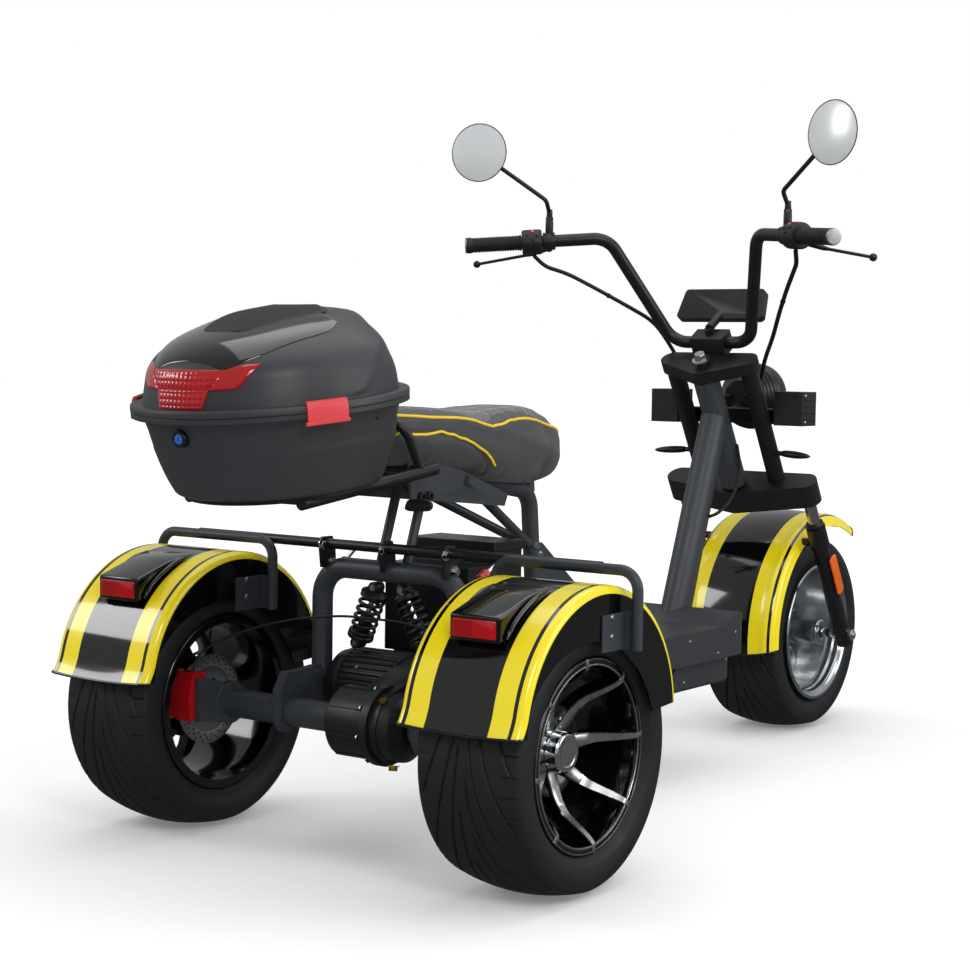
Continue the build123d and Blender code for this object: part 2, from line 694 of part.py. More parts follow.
# ---- display, lamps and indicators
DISPLAY_WIDTH = 224.0
DISPLAY_TOP_WIDTH = 206.0
DISPLAY_HEIGHT = 76.0
DISPLAY_WALL = 20.0
DISPLAY_LEAN = 26.0
DISPLAY_CENTRE = fork(0, BAR_UP, BAR_AHEAD) + Vector(0, 44, 90)
with BuildPart() as display:
    lean = radians(DISPLAY_LEAN)
    face = Plane(origin=DISPLAY_CENTRE, x_dir=(1, 0, 0), z_dir=(0, -cos(lean), sin(lean)))
    with BuildSketch(face):
        with BuildLine():
            Polyline(
                (-DISPLAY_WIDTH / 2, -DISPLAY_HEIGHT / 2),
                (DISPLAY_WIDTH / 2, -DISPLAY_HEIGHT / 2),
                (DISPLAY_TOP_WIDTH / 2, DISPLAY_HEIGHT / 2),
                (-DISPLAY_TOP_WIDTH / 2, DISPLAY_HEIGHT / 2),
                close=True,
            )
        make_face()
    extrude(amount=-DISPLAY_WALL)
    fillet(display.edges().filter_by(Axis(DISPLAY_CENTRE, face.z_dir), tolerance=1), 10)
    # its foot stands on the bar clamp
    clamp_roof = BAR_UP + BAR_RADIUS + 8
    foot = fork(0, clamp_roof + FIT, BAR_AHEAD + 6)
    knee = fork(0, clamp_roof + 12, BAR_AHEAD + 6)
    rod(foot, knee, 12)
    rod(knee, DISPLAY_CENTRE - face.z_dir * (DISPLAY_WALL / 2) - face.y_dir * 20, 10)
save(display, "display")

LAMP_PLATE_UP = 605.0
LAMP_PLATE_HALF = 118.0
HEADLAMP_RADIUS = 78.0
HEADLAMP_CENTRE = Vector(0, station(WHEELBASE - 185), 812)
with BuildPart() as headlamp:
    # a flat bracket across the front of both fork tubes
    with BuildSketch(fork_plane(LAMP_PLATE_UP - 20)):
        with Locations((0, FORK_TUBE_RADIUS + FIT + 3)):
            Rectangle(2 * LAMP_PLATE_HALF, 6)
    extrude(amount=40)
    plate = fork(0, LAMP_PLATE_UP, FORK_TUBE_RADIUS + 5)
    rod(plate, HEADLAMP_CENTRE, 14)
    back = HEADLAMP_CENTRE - Vector(0, 62, 0)
    rod(back, HEADLAMP_CENTRE, 40, end_radius=HEADLAMP_RADIUS)
    rod(HEADLAMP_CENTRE, HEADLAMP_CENTRE + Vector(0, 34, 0), HEADLAMP_RADIUS)
save(headlamp, "headlamp")

AUX_INNER = 127.0
AUX_OUTER = 198.0
with BuildPart() as aux_lamps:
    for sign in SIDES.values():
        middle = fork(0, LAMP_PLATE_UP, FORK_TUBE_RADIUS + 3)
        low_x, high_x = sorted((sign * AUX_INNER, sign * AUX_OUTER))
        block((low_x, high_x), (middle.Y - 22, middle.Y + 50), (middle.Z - 20, middle.Z + 58))
        pin_end = (sign * (AUX_INNER + 1), middle.Y, middle.Z)
        rod((sign * (LAMP_PLATE_HALF + FIT), middle.Y, middle.Z), pin_end, 3)
save(aux_lamps, "aux_lamps")

INDICATOR_UP = 519.0
with BuildPart() as indicators:
    for sign in SIDES.values():
        stalk = fork(sign * (FORK_TUBE_X + FORK_TUBE_RADIUS + FIT), INDICATOR_UP)
        body = stalk + Vector(sign * 20, 0, 0)
        rod(stalk, body, 6)
        rod(body - Vector(sign * 4, 0, 0), body + Vector(sign * 70, -14, -4), 16, end_radius=6)
save(indicators, "indicators")

# ================================================================ chassis
DOWN_FOOT = (0, station(FLOOR_FRONT - 53), RAIL_BOTTOM + 18)
DOWN_HEAD = fork(0, 638, -FORK_OFFSET - 8)
HEAD_BOTTOM = CROWN_TOP + 6
HEAD_TOP = CLAMP_BOTTOM - 4

with BuildPart() as main_frame:
    foot = Vector(*DOWN_FOOT)
    head = Vector(*DOWN_HEAD)
    with BuildSketch(Plane(origin=foot, x_dir=(1, 0, 0), z_dir=head - foot)) as low:
        Ellipse(DOWN_TUBE_HALF_WIDTH, DOWN_TUBE_BASE_DEPTH)
    with BuildSketch(Plane(origin=head, x_dir=(1, 0, 0), z_dir=head - foot)) as high:
        Ellipse(DOWN_TUBE_HALF_WIDTH, DOWN_TUBE_HEAD_DEPTH)
    loft()
    rod(fork(0, HEAD_BOTTOM, -FORK_OFFSET), fork(0, HEAD_TOP, -FORK_OFFSET), HEAD_TUBE_RADIUS)
    rod(
        fork(0, HEAD_BOTTOM - 1, -FORK_OFFSET),
        fork(0, HEAD_TOP + 1, -FORK_OFFSET),
        HEAD_TUBE_BORE,
        Mode.SUBTRACT,
    )
    rail_z = (RAIL_BOTTOM, RAIL_BOTTOM + RAIL_SIZE)
    for sign in SIDES.values():
        low_x, high_x = sorted((sign * (RAIL_X - RAIL_SIZE / 2), sign * (RAIL_X + RAIL_SIZE / 2)))
        block((low_x, high_x), (station(560), station(FLOOR_FRONT - 12)), rail_z)
    cross_x = (-RAIL_X - RAIL_SIZE / 2, RAIL_X + RAIL_SIZE / 2)
    block(cross_x, (station(FLOOR_FRONT - 110), station(FLOOR_FRONT - 10)), (RAIL_BOTTOM, RAIL_BOTTOM + 46))
    block(cross_x, (station(556), station(600)), rail_z)
save(main_frame, "main_frame")

SEAT_TUBE = [(0, station(577), RAIL_BOTTOM + RAIL_SIZE), (0, station(541), 628), (0, station(150), 690)]
BRACE_TOP = (85, station(205), 668)
BRACE_FOOT = (0, station(552), 515)
PLATE_X = 80.0
PLATE_WALL = 5.0
SEAT_PLATE = [(36, 706), (44, 640), (335, 613), (346, 636), (235, 672), (190, 688), (90, 706)]
CROSS_ROD = (station(165), 688)  # between the plates, over two posts on the arch
POST_X = 30.0
POST_FOOT = ARCH_FORWARD + 11
PIVOT_FORWARD = 598.0
PIVOT_Z = 302.0
PIVOT_RADIUS = 10.0
SWING_X = 120.0
TRAY_TOP = BOX_BOTTOM - FIT

RACK_X = 125.0
RACK_RADIUS = 11.0
RACK_REAR = -100.0
RACK_FRONT = 264.0
LOOP_FORWARD = CASE_AHEAD - 5  # loop across the front of the box
LOOP_UP = -62.0
CASE_LEAN = radians(CASE_TILT)
CASE_MIDDLE = REAR_OVERHANG - CASE_BEHIND * cos(CASE_LEAN) - RIM_BAND * sin(CASE_LEAN)
CASE_PLANE = Plane(
    origin=(0, REAR_Y - CASE_MIDDLE, CASE_RIM_Z),
    x_dir=(1, 0, 0),
    z_dir=(0, -sin(CASE_LEAN), cos(CASE_LEAN)),
)


def in_case(x, y, z):
    """A point in the top box's own frame: y runs forward from its widest line, z is square to its rim."""
    return CASE_PLANE.from_local_coords(Vector(x, y, z))


RACK_Z = -CASE_DEPTH - FIT - RACK_RADIUS
with BuildPart() as rear_rack:
    for sign in SIDES.values():
        rack_end = in_case(sign * RACK_X, RACK_FRONT, RACK_Z)
        rod(in_case(sign * RACK_X, RACK_REAR, RACK_Z), rack_end, RACK_RADIUS)
    for y in (RACK_REAR + 30, 40, RACK_FRONT - 14):
        rod(in_case(-RACK_X, y, RACK_Z), in_case(RACK_X, y, RACK_Z), 8.5)
    # loop in front of the box
    loop = [
        in_case(-RACK_X, RACK_FRONT - 40, RACK_Z),
        in_case(-RACK_X, LOOP_FORWARD, LOOP_UP),
        in_case(RACK_X, LOOP_FORWARD, LOOP_UP),
        in_case(RACK_X, RACK_FRONT - 40, RACK_Z),
    ]
    tube(loop, [34, 34], 8.5)
save(rear_rack, "rear_rack")

with BuildPart() as seat_frame:
    tube(SEAT_TUBE, [46], SEAT_TUBE_RADIUS)
    rod((0, station(541), 628), (0, station(538), 655), 12)
    for sign in SIDES.values():
        rod((sign * BRACE_TOP[0], BRACE_TOP[1], BRACE_TOP[2]), BRACE_FOOT, BRACE_RADIUS)
        low_x, high_x = sorted((sign * PLATE_X, sign * (PLATE_X + PLATE_WALL)))
        side_plate(SEAT_PLATE, low_x, high_x)
        rod((sign * POST_X, station(POST_FOOT), ARCH_TOP + ARCH_RADIUS - 2), (sign * POST_X, *CROSS_ROD), 9)
    rod((-PLATE_X - 2, *CROSS_ROD), (PLATE_X + 2, *CROSS_ROD), 8)
    # gusset between the seat tube and the floor
    side_plate([(566, 280), (862, 280), (862, 322), (588, 522), (556, 522)], -3, 3)
    # tray under the battery box
    block((-75, 75), (station(BOX_REAR), station(562)), (TRAY_TOP - 14, TRAY_TOP))
    pivot_y = station(PIVOT_FORWARD)
    rod((-SWING_X - 16, pivot_y, PIVOT_Z), (SWING_X + 16, pivot_y, PIVOT_Z), PIVOT_RADIUS)
    block((-84, 84), (station(550), station(610)), (RAIL_BOTTOM, RAIL_BOTTOM + RAIL_SIZE), Mode.SUBTRACT)
    add(rear_rack.part, mode=Mode.SUBTRACT)
save(seat_frame, "seat_frame")

# ---- rear axle, gearbox and motor
DIFF_LEFT = -35.0
DIFF_RIGHT = 136.0
MOTOR_FORWARD = 128.0
MOTOR_Z = TYRE_RADIUS + 43.5
MOTOR_RADIUS = 68.0
MOTOR_LEFT = -130.0
MOTOR_RIGHT = 25.0
LUG_X = 158.0
REAR_AXLE = (0, REAR_Y, TYRE_RADIUS)

CALIPER_FOOT = [(-88, -26), (-88, 56), (-30, 44), (0, 24), (0, -24), (-30, -34)]
CALIPER_BODY = [(-98, -25), (-102, 20), (-90, 64), (-62, 64), (-46, 24), (-52, -25)]
CALIPER_BRIDGE = [(-98, -17), (-102, 20), (-94, 54), (-89, 52), (-91, 20), (-90, -15)]
LUG_REAR = [(116, -10), (40, -24), (-20, -36), (-34, -12), (-34, 42), (-14, 74)]


def about_axle(points):
    """Moves (forward, up) points given from the rear axle to (forward, z)."""
    return [(forward, TYRE_RADIUS + up) for forward, up in points]


with BuildPart() as gearbox:
    bell = [
        (DIFF_LEFT, 0),
        (DIFF_LEFT, 46),
        (DIFF_LEFT + 16, 64),
        (MOTOR_RIGHT + 38, 64),
        (MOTOR_RIGHT + 38, 72),
        (MOTOR_RIGHT + 54, 72),
        (MOTOR_RIGHT + 54, 64),
        (DIFF_RIGHT - 18, 60),
        (DIFF_RIGHT, 40),
        (DIFF_RIGHT, 0),
    ]
    turned(bell, *REAR_AXLE)
    with BuildSketch(Plane(origin=(MOTOR_RIGHT + FIT, 0, 0), x_dir=(0, 1, 0), z_dir=(1, 0, 0))):
        with Locations((REAR_Y, TYRE_RADIUS)):
            Circle(64)
        with Locations((station(MOTOR_FORWARD), MOTOR_Z)):
            Circle(60)
        make_hull()
    extrude(amount=70)
save(gearbox, "gearbox")

with BuildPart() as drive_motor:
    can = [
        (MOTOR_LEFT, 0),
        (MOTOR_LEFT, MOTOR_RADIUS - 8),
        (MOTOR_LEFT + 8, MOTOR_RADIUS),
        (MOTOR_RIGHT, MOTOR_RADIUS),
        (MOTOR_RIGHT, 0),
    ]
    turned(can, 0, station(MOTOR_FORWARD), MOTOR_Z)
    add(gearbox.part, mode=Mode.SUBTRACT)
save(drive_motor, "drive_motor")

with BuildPart() as axle_housing:
    rod((-AXLE_END, REAR_Y, TYRE_RADIUS), (DIFF_LEFT - FIT, REAR_Y, TYRE_RADIUS), AXLE_TUBE_RADIUS)
    rod((DIFF_RIGHT + FIT, REAR_Y, TYRE_RADIUS), (AXLE_END, REAR_Y, TYRE_RADIUS), AXLE_TUBE_RADIUS)
    for sign in SIDES.values():
        plate_end = sign * (AXLE_END + CALIPER_PLATE)
        rod((sign * (AXLE_END - 1), REAR_Y, TYRE_RADIUS), (plate_end, REAR_Y, TYRE_RADIUS), 40)
        side_plate(about_axle(CALIPER_FOOT), *sorted((sign * AXLE_END, plate_end)))
save(axle_housing, "axle_housing")

with BuildPart() as calipers:
    for sign in SIDES.values():
        disc = sign * (REAR_WHEEL_X - REAR_DISC_INSET - DISC_WALL / 2)
        bracket = sign * (AXLE_END + CALIPER_PLATE + FIT)
        near = disc - sign * (DISC_WALL / 2 + CALIPER_GAP)
        far = disc + sign * (DISC_WALL / 2 + CALIPER_GAP)
        outer = far + sign * CALIPER_CHEEK
        side_plate(about_axle(CALIPER_BODY), *sorted((bracket, near)))
        side_plate(about_axle(CALIPER_BODY), *sorted((far, outer)))
        side_plate(about_axle(CALIPER_BRIDGE), *sorted((bracket, outer)))
save(calipers, "rear_calipers")

SWING_RADIUS = 15.0
with BuildPart() as rear_arch:
    legs = [
        (-ARCH_X, station(ARCH_FORWARD), PIVOT_Z),
        (-ARCH_X, station(ARCH_FORWARD), ARCH_TOP),
        (ARCH_X, station(ARCH_FORWARD), ARCH_TOP),
        (ARCH_X, station(ARCH_FORWARD), PIVOT_Z),
    ]
    tube(legs, [58, 58], ARCH_RADIUS)
    pivot_y = station(PIVOT_FORWARD)
    lug = about_axle(LUG_REAR) + [(14, PIVOT_Z + 10), (108, PIVOT_Z + 16)]
    for sign in SIDES.values():
        rod((sign * ARCH_X, station(60), PIVOT_Z), (sign * SWING_X, pivot_y, PIVOT_Z), SWING_RADIUS)
        rod((sign * (SWING_X - 12), pivot_y, PIVOT_Z), (sign * (SWING_X + 12), pivot_y, PIVOT_Z), 18)
        side_plate(lug, *sorted((sign * (LUG_X - 10), sign * (LUG_X + 10))))
    bore_end = (SWING_X + 40, pivot_y, PIVOT_Z)
    rod((-SWING_X - 40, pivot_y, PIVOT_Z), bore_end, PIVOT_RADIUS + FIT, Mode.SUBTRACT)
    rod((-AXLE_END, REAR_Y, TYRE_RADIUS), (AXLE_END, REAR_Y, TYRE_RADIUS), AXLE_TUBE_RADIUS, Mode.SUBTRACT)
save(rear_arch, "rear_arch")

# ---- shocks, leaning in towards the top
SHOCK_EYE = 11.0
SHOCK_FOOT = (80, 104, 362)
SHOCK_HEAD = (32, 95, ARCH_TOP - ARCH_RADIUS - SHOCK_EYE - FIT)
SPRING_RADIUS = 26.0


# damper, spring and an eye at each end
with BuildPart() as shocks:
    for sign in SIDES.values():
        foot = Vector(sign * SHOCK_FOOT[0], station(SHOCK_FOOT[1]), SHOCK_FOOT[2])
        head = Vector(sign * SHOCK_HEAD[0], station(SHOCK_HEAD[1]), SHOCK_HEAD[2])
        up = (head - foot).normalized()
        rod(foot, head, 9)
        rod(foot + up * 14, head - up * 14, SPRING_RADIUS)
        for eye in (foot, head):
            rod(eye - Vector(0, 12, 0), eye + Vector(0, 12, 0), SHOCK_EYE)
save(shocks, "shocks")

# ---- rear fenders with their lamp housings
FENDER_CENTRE = (REAR_Y, TYRE_RADIUS + FENDER_RISE)
FENDER_END_Z = TYRE_RADIUS + FENDER_END_RISE
SKIRT_CUT_FORWARD = -45.0
SKIRT_CUT_Z = TYRE_RADIUS - 18.5
SKIRT_CUT_RADIUS = 215.0
SKIRT_DEPTH = 120.0
LAMP_WALL = 6.0
LAMP_FRONT = -96.0
LENS_WALL = 7.0
LAMP_LOW = LAMP_Z - LAMP_HEIGHT / 2
LAMP_HIGH = LAMP_Z + LAMP_HEIGHT / 2
LENS_FACE = -LAMP_BACK - 2


def lamp_x(sign, margin=0.0):
    """Limits in x of one tail lamp, with a margin on each side."""
    half = LAMP_WIDTH / 2 + margin
    return (sign * LAMP_X - half, sign * LAMP_X + half)


def fender_box(inset):
    """Section of a rear fender in (x, radius): a flat roof with a side wall at each edge."""
    half = (FENDER_OUTER_X - FENDER_INNER_X) / 2 - inset
    roof = FENDER_RADIUS - inset
    shoulder = 16.0
    with BuildLine(mode=Mode.PRIVATE) as outline:
        Polyline(
            (-half, FENDER_RADIUS - SKIRT_DEPTH),
            (-half, roof - shoulder),
            (-half + shoulder, roof),
            (half - shoulder, roof),
            (half, roof - shoulder),
            (half, FENDER_RADIUS - SKIRT_DEPTH),
            close=True,
        )
    return outline.line


def make_fender(side, sign):
    """One rear fender, opened over the wheel, with the housing of its tail lamp."""
    middle = sign * (FENDER_INNER_X + FENDER_OUTER_X) / 2
    y, z = FENDER_CENTRE
    section = Plane(origin=(middle, y, z), x_dir=(1, 0, 0), z_dir=(0, -1, 0))
    spin = Axis((middle, y, z), (1, 0, 0))
    with BuildPart() as inside:
        with BuildSketch(section):
            with BuildLine():
                add(fender_box(FENDER_WALL))
            make_face()
        revolve(axis=spin)
    with BuildPart() as fender:
        with BuildSketch(section):
            with BuildLine():
                add(fender_box(0))
            make_face()
        revolve(axis=spin)
        low_z = LAMP_LOW - LAMP_WALL
        high_z = LAMP_HIGH + LAMP_WALL
        roof_z = z + FENDER_RADIUS - 8
        housing = [
            (-LAMP_BACK, low_z),
            (-LAMP_BACK, high_z),
            (LAMP_FRONT, high_z + 12),
            (-40, roof_z),
            (-40, roof_z - 36),
            (LAMP_FRONT, low_z),
        ]
        side_plate(housing, *lamp_x(sign, LAMP_WALL))
        add(inside.part, mode=Mode.SUBTRACT)
        # the side walls stop at a round line over the wheel
        for edge in (FENDER_INNER_X, FENDER_OUTER_X - FENDER_WALL):
            near, far = sorted((sign * (edge - 1), sign * (edge + FENDER_WALL + 1)))
            with BuildSketch(Plane(origin=(near, 0, 0), x_dir=(0, 1, 0), z_dir=(1, 0, 0))):
                with Locations((station(SKIRT_CUT_FORWARD), SKIRT_CUT_Z)):
                    Circle(SKIRT_CUT_RADIUS)
            extrude(amount=far - near, mode=Mode.SUBTRACT)
        with BuildSketch(Plane.XY):
            with Locations((middle, y)):
                Rectangle(400, 4 * FENDER_RADIUS)
        extrude(amount=FENDER_END_Z, mode=Mode.SUBTRACT)
        # the lens sits in a shallow pocket in the rear of the housing
        pocket = (station(LENS_FACE - 3), station(LENS_FACE + LENS_WALL + FIT))
        block(lamp_x(sign, FIT), pocket, (LAMP_LOW - FIT, LAMP_HIGH + FIT), Mode.SUBTRACT)
    save(fender, f"rear_fender_{side}")


for side, sign in SIDES.items():
    make_fender(side, sign)

with BuildPart() as tail_lamps:
    for sign in SIDES.values():
        block(lamp_x(sign), (station(LENS_FACE), station(LENS_FACE + LENS_WALL)), (LAMP_LOW, LAMP_HIGH))
save(tail_lamps, "tail_lamps")

# ---- rails over the fenders and the bar that joins them
BAR_FORWARD = HOOP_FORWARD + 2 * HOOP_RADIUS + FIT
BAR_HALF = 462.0
EAR_X = 142.0


PLATE_LOW = HOOP_TOP - 130
PLATE_HIGH = HOOP_TOP - 68

# a hoop over each fender, with two plates that hold it to the fender's sides
with BuildPart() as fender_rails:
    y = station(HOOP_FORWARD)
    for sign in SIDES.values():
        points = [
            (sign * HOOP_INNER_X, y, HOOP_TOP - HOOP_LEG),
            (sign * HOOP_INNER_X, y, HOOP_TOP),
            (sign * HOOP_OUTER_X, y, HOOP_TOP),
            (sign * HOOP_OUTER_X, y, HOOP_TOP - HOOP_LEG),
        ]
        tube(points, [HOOP_BEND, HOOP_BEND], HOOP_RADIUS)
        for leg, wall in ((HOOP_INNER_X, FENDER_INNER_X), (HOOP_OUTER_X, FENDER_OUTER_X)):
            away = 1 if leg > wall else -1
            near_wall = sign * (wall + away * FIT)
            far_face = sign * (wall + away * (FIT + 3))
            plate_x = sorted((near_wall, far_face))
            arm_x = sorted((near_wall, sign * leg))
            block(plate_x, (station(-14), station(HOOP_FORWARD)), (PLATE_LOW, PLATE_HIGH))
            block(arm_x, (y - 3, y), (PLATE_LOW, PLATE_HIGH))
save(fender_rails, "fender_rails")

with BuildPart() as cross_bar:
    y = station(BAR_FORWARD)
    rod((-BAR_HALF, y, HOOP_TOP), (BAR_HALF, y, HOOP_TOP), HOOP_RADIUS)
    ear = [
        (ARCH_FORWARD - 23, ARCH_TOP - 30),
        (BAR_FORWARD - 19, HOOP_TOP - 6),
        (BAR_FORWARD - 13, HOOP_TOP + 13),
        (BAR_FORWARD + 15, HOOP_TOP + 13),
        (BAR_FORWARD + 23, HOOP_TOP - 6),
        (ARCH_FORWARD + 17, ARCH_TOP - 30),
    ]
    for x in (-EAR_X, 0, EAR_X):
        side_plate(ear, x - 3, x + 3)
    add(rear_arch.part, mode=Mode.SUBTRACT)
    # nothing of the ears stays below the arch
    below = (ARCH_TOP - 60, ARCH_TOP)
    block((-EAR_X - 4, EAR_X + 4), (station(40), station(130)), below, Mode.SUBTRACT)
save(cross_bar, "cross_bar")

# ---- floor, cases and seat
with BuildPart() as footboard:
    skirt = RAIL_BOTTOM - 2
    outline = [
        (FLOOR_REAR, skirt),
        (FLOOR_REAR, FLOOR_TOP),
        (FLOOR_FRONT - 122, FLOOR_TOP),
        (FLOOR_FRONT - 44, FLOOR_TOP + 26),
        (FLOOR_FRONT - 10, FLOOR_TOP + 18),
        (FLOOR_FRONT, FLOOR_TOP - 18),
        (FLOOR_FRONT - 22, skirt),
    ]
    hollow = [
        (FLOOR_REAR + FLOOR_WALL, skirt - 1),
        (FLOOR_REAR + FLOOR_WALL, FLOOR_TOP - FLOOR_WALL),
        (FLOOR_FRONT - 122, FLOOR_TOP - FLOOR_WALL),
        (FLOOR_FRONT - 44, FLOOR_TOP + 26 - FLOOR_WALL),
        (FLOOR_FRONT - 12, FLOOR_TOP + 18 - FLOOR_WALL),
        (FLOOR_FRONT - FLOOR_WALL, FLOOR_TOP - 18),
        (FLOOR_FRONT - 22 - FLOOR_WALL, skirt - 1),
    ]
    side_plate(outline, -FLOOR_HALF_WIDTH, FLOOR_HALF_WIDTH)
    with BuildSketch(Plane.XY) as plan:
        with Locations((0, station((FLOOR_REAR + FLOOR_FRONT) / 2))):
            RectangleRounded(2 * FLOOR_HALF_WIDTH, FLOOR_FRONT - FLOOR_REAR, 46)
    extrude(amount=500, mode=Mode.INTERSECT)
    side_plate(hollow, -FLOOR_HALF_WIDTH + FLOOR_WALL, FLOOR_HALF_WIDTH - FLOOR_WALL, Mode.SUBTRACT)
    add(main_frame.part, mode=Mode.SUBTRACT)
    add(seat_frame.part, mode=Mode.SUBTRACT)
save(footboard, "footboard")

with BuildPart() as floor_case:
    case_y = (station(FLOOR_REAR + 22), station(FLOOR_FRONT - 26))
    block((-CASE_HALF_WIDTH, CASE_HALF_WIDTH), case_y, (CASE_BOTTOM, RAIL_BOTTOM - FIT))
    chamfer(floor_case.edges().filter_by(Axis.Z), 18)
    chamfer(floor_case.faces().sort_by(Axis.Z)[0].edges(), 8)
save(floor_case, "floor_case")

with BuildPart() as battery_box:
    lip = BOX_HALF_WIDTH + BOX_LIP
    lip_y = (station(BOX_STEP_REAR - BOX_LIP), station(BOX_FRONT + BOX_LIP))
    width = (-BOX_HALF_WIDTH, BOX_HALF_WIDTH)
    block(width, (station(BOX_REAR), station(BOX_FRONT)), (BOX_BOTTOM, BOX_STEP))
    block(width, (station(BOX_STEP_REAR), station(BOX_FRONT)), (BOX_STEP, BOX_TOP))
    block((-lip, lip), lip_y, (BOX_TOP - BOX_COVER, BOX_TOP))
    add(seat_frame.part, mode=Mode.SUBTRACT)
save(battery_box, "battery_box")

SEAT_HALF_WIDTH = 132.0
SEAT_REAR_HALF = 112.0
SEAT_NOSE_HALF = 76.0
with BuildPart() as seat:
    with BuildSketch(Plane(origin=(-SEAT_HALF_WIDTH, REAR_Y, 0), x_dir=(0, 1, 0), z_dir=(1, 0, 0))):
        with BuildLine():
            nose = Spline((478, 796), (545, 770), (594, 694), (580, 661), (532, 648))
            bottom = Polyline(nose @ 1, (470, 655), (200, 690), (-28, 704))
            back = Line(bottom @ 1, (-34, 805))
            Spline(back @ 1, (110, 802), (250, 792), (330, 796), (420, 801), nose @ 0)
        make_face()
    extrude(amount=2 * SEAT_HALF_WIDTH)
    with BuildSketch(Plane.XY):
        with BuildLine():
            half = [
                (SEAT_REAR_HALF, station(-40)),
                (SEAT_HALF_WIDTH, station(200)),
                (SEAT_HALF_WIDTH - 12, station(360)),
                (SEAT_NOSE_HALF, station(512)),
                (0, station(598)),
            ]
            right = Spline(*half, tangents=[(0.1, 1), (-1, 0)])
            left = Spline(*[(-x, y) for x, y in half[::-1]], tangents=[(-1, 0), (0.1, -1)])
            Line(left @ 1, right @ 0)
        make_face()
    extrude(amount=1000, mode=Mode.INTERSECT)
    add(seat_frame.part, mode=Mode.SUBTRACT)
    add(rear_rack.part, mode=Mode.SUBTRACT)
save(seat, "seat")

# ---- top box and its lid
EGG_STEPS = 14
FRONT_POWER = 2.3  # how square the plan is ahead of its widest line
HINGE_X = 60.0
HINGE_OUT = 8.0  # hinge line ahead of the rim's front edge
HINGE_UP = -2.0
HINGE_Y = CASE_AHEAD + HINGE_OUT
HINGE_RADIUS = 6.0
HINGE_PIN = 2.5
LOCK_UP = -29.5
LOCK_RADIUS = 13.5
# (height, plan in proportion to the rim, forward shift)
BASE_SECTIONS = [
    (-CASE_DEPTH, 0.745, 2),
    (-CASE_DEPTH * 0.75, 0.815, 2),
    (-CASE_DEPTH * 0.41, 0.885, 3),
    (0, 0.933, 0),
]
LID_SECTIONS = [
    (FIT, 0.933, 0),
    (LID_HEIGHT * 0.29, 0.905, 3),
    (LID_HEIGHT * 0.48, 0.866, 2),
    (LID_HEIGHT * 0.64, 0.794, 10),
    (LID_HEIGHT * 0.78, 0.672, 23),
    (LID_HEIGHT * 0.93, 0.467, 54),
    (LID_HEIGHT, 0.2, 60),
]
LID_CURVE = LID_HEIGHT * 0.6  # above this the lid's wall is measured downwards


def egg(z, scale=1.0, shift=0.0, inset=0.0):
    """Plan of the box at a height: an ellipse behind its widest line, a squarer curve ahead of it."""
    points = []
    for step in range(4 * EGG_STEPS):
        turn = 2 * pi * step / (4 * EGG_STEPS)
        ahead = sin(turn) > 0
        power = 2 / FRONT_POWER if ahead else 1
        reach = CASE_AHEAD if ahead else CASE_BEHIND
        x = (CASE_HALF * scale - inset) * copysign(abs(cos(turn)) ** power, cos(turn))
        y = (reach * scale - inset) * copysign(abs(sin(turn)) ** power, sin(turn))
        points.append((x, y + shift))
    with BuildSketch(CASE_PLANE.offset(z), mode=Mode.PRIVATE) as plan:
        with BuildLine():
            Spline(*points, periodic=True)
        make_face()
    return plan.sketch


def case_loft(sections, inset):
    """A skin through the plans of (height, scale, shift), all of them inset."""
    plans = [egg(z, scale, shift, inset) for z, scale, shift in sections]
    return loft(plans, mode=Mode.PRIVATE)


def rim_band(z_low, z_high):
    """A band of the rim's outline between two heights."""
    extrude(egg(z_low), amount=z_high - z_low)


def case_block(x, y, z, mode=Mode.ADD):
    """A block in the top box's own frame."""
    with BuildSketch(CASE_PLANE.offset(z[0]), mode=Mode.PRIVATE) as foot:
        with Locations(((x[0] + x[1]) / 2, (y[0] + y[1]) / 2)):
            Rectangle(x[1] - x[0], y[1] - y[0])
    extrude(foot.sketch, amount=z[1] - z[0], mode=mode)


def hinge_rod(x_low, x_high, radius, mode=Mode.ADD):
    """A round piece on the lid's hinge line."""
    rod(in_case(x_low, HINGE_Y, HINGE_UP), in_case(x_high, HINGE_Y, HINGE_UP), radius, mode)


with BuildPart() as top_box:
    add(case_loft(BASE_SECTIONS, 0))
    rim_band(-RIM_UNDER, 0)
    hollow = [(z, scale, shift) for z, scale, shift in BASE_SECTIONS]
    hollow[0] = (SHELL - CASE_DEPTH, *hollow[0][1:])
    hollow[-1] = (1, *hollow[-1][1:])
    add(case_loft(hollow, SHELL), mode=Mode.SUBTRACT)
    # lock barrel at the back
    rod(in_case(0, 34 - CASE_BEHIND, LOCK_UP), in_case(0, 14 - CASE_BEHIND, LOCK_UP), LOCK_RADIUS)
    for x in (-HINGE_X, HINGE_X):
        for low_x in (x - 22, x + 8):
            case_block((low_x, low_x + 14), (CASE_AHEAD - 10, HINGE_Y), (1 - RIM_UNDER, 0))
            hinge_rod(low_x, low_x + 14, HINGE_RADIUS)
        hinge_rod(x - 22, x + 22, HINGE_PIN)
save(top_box, "top_box")

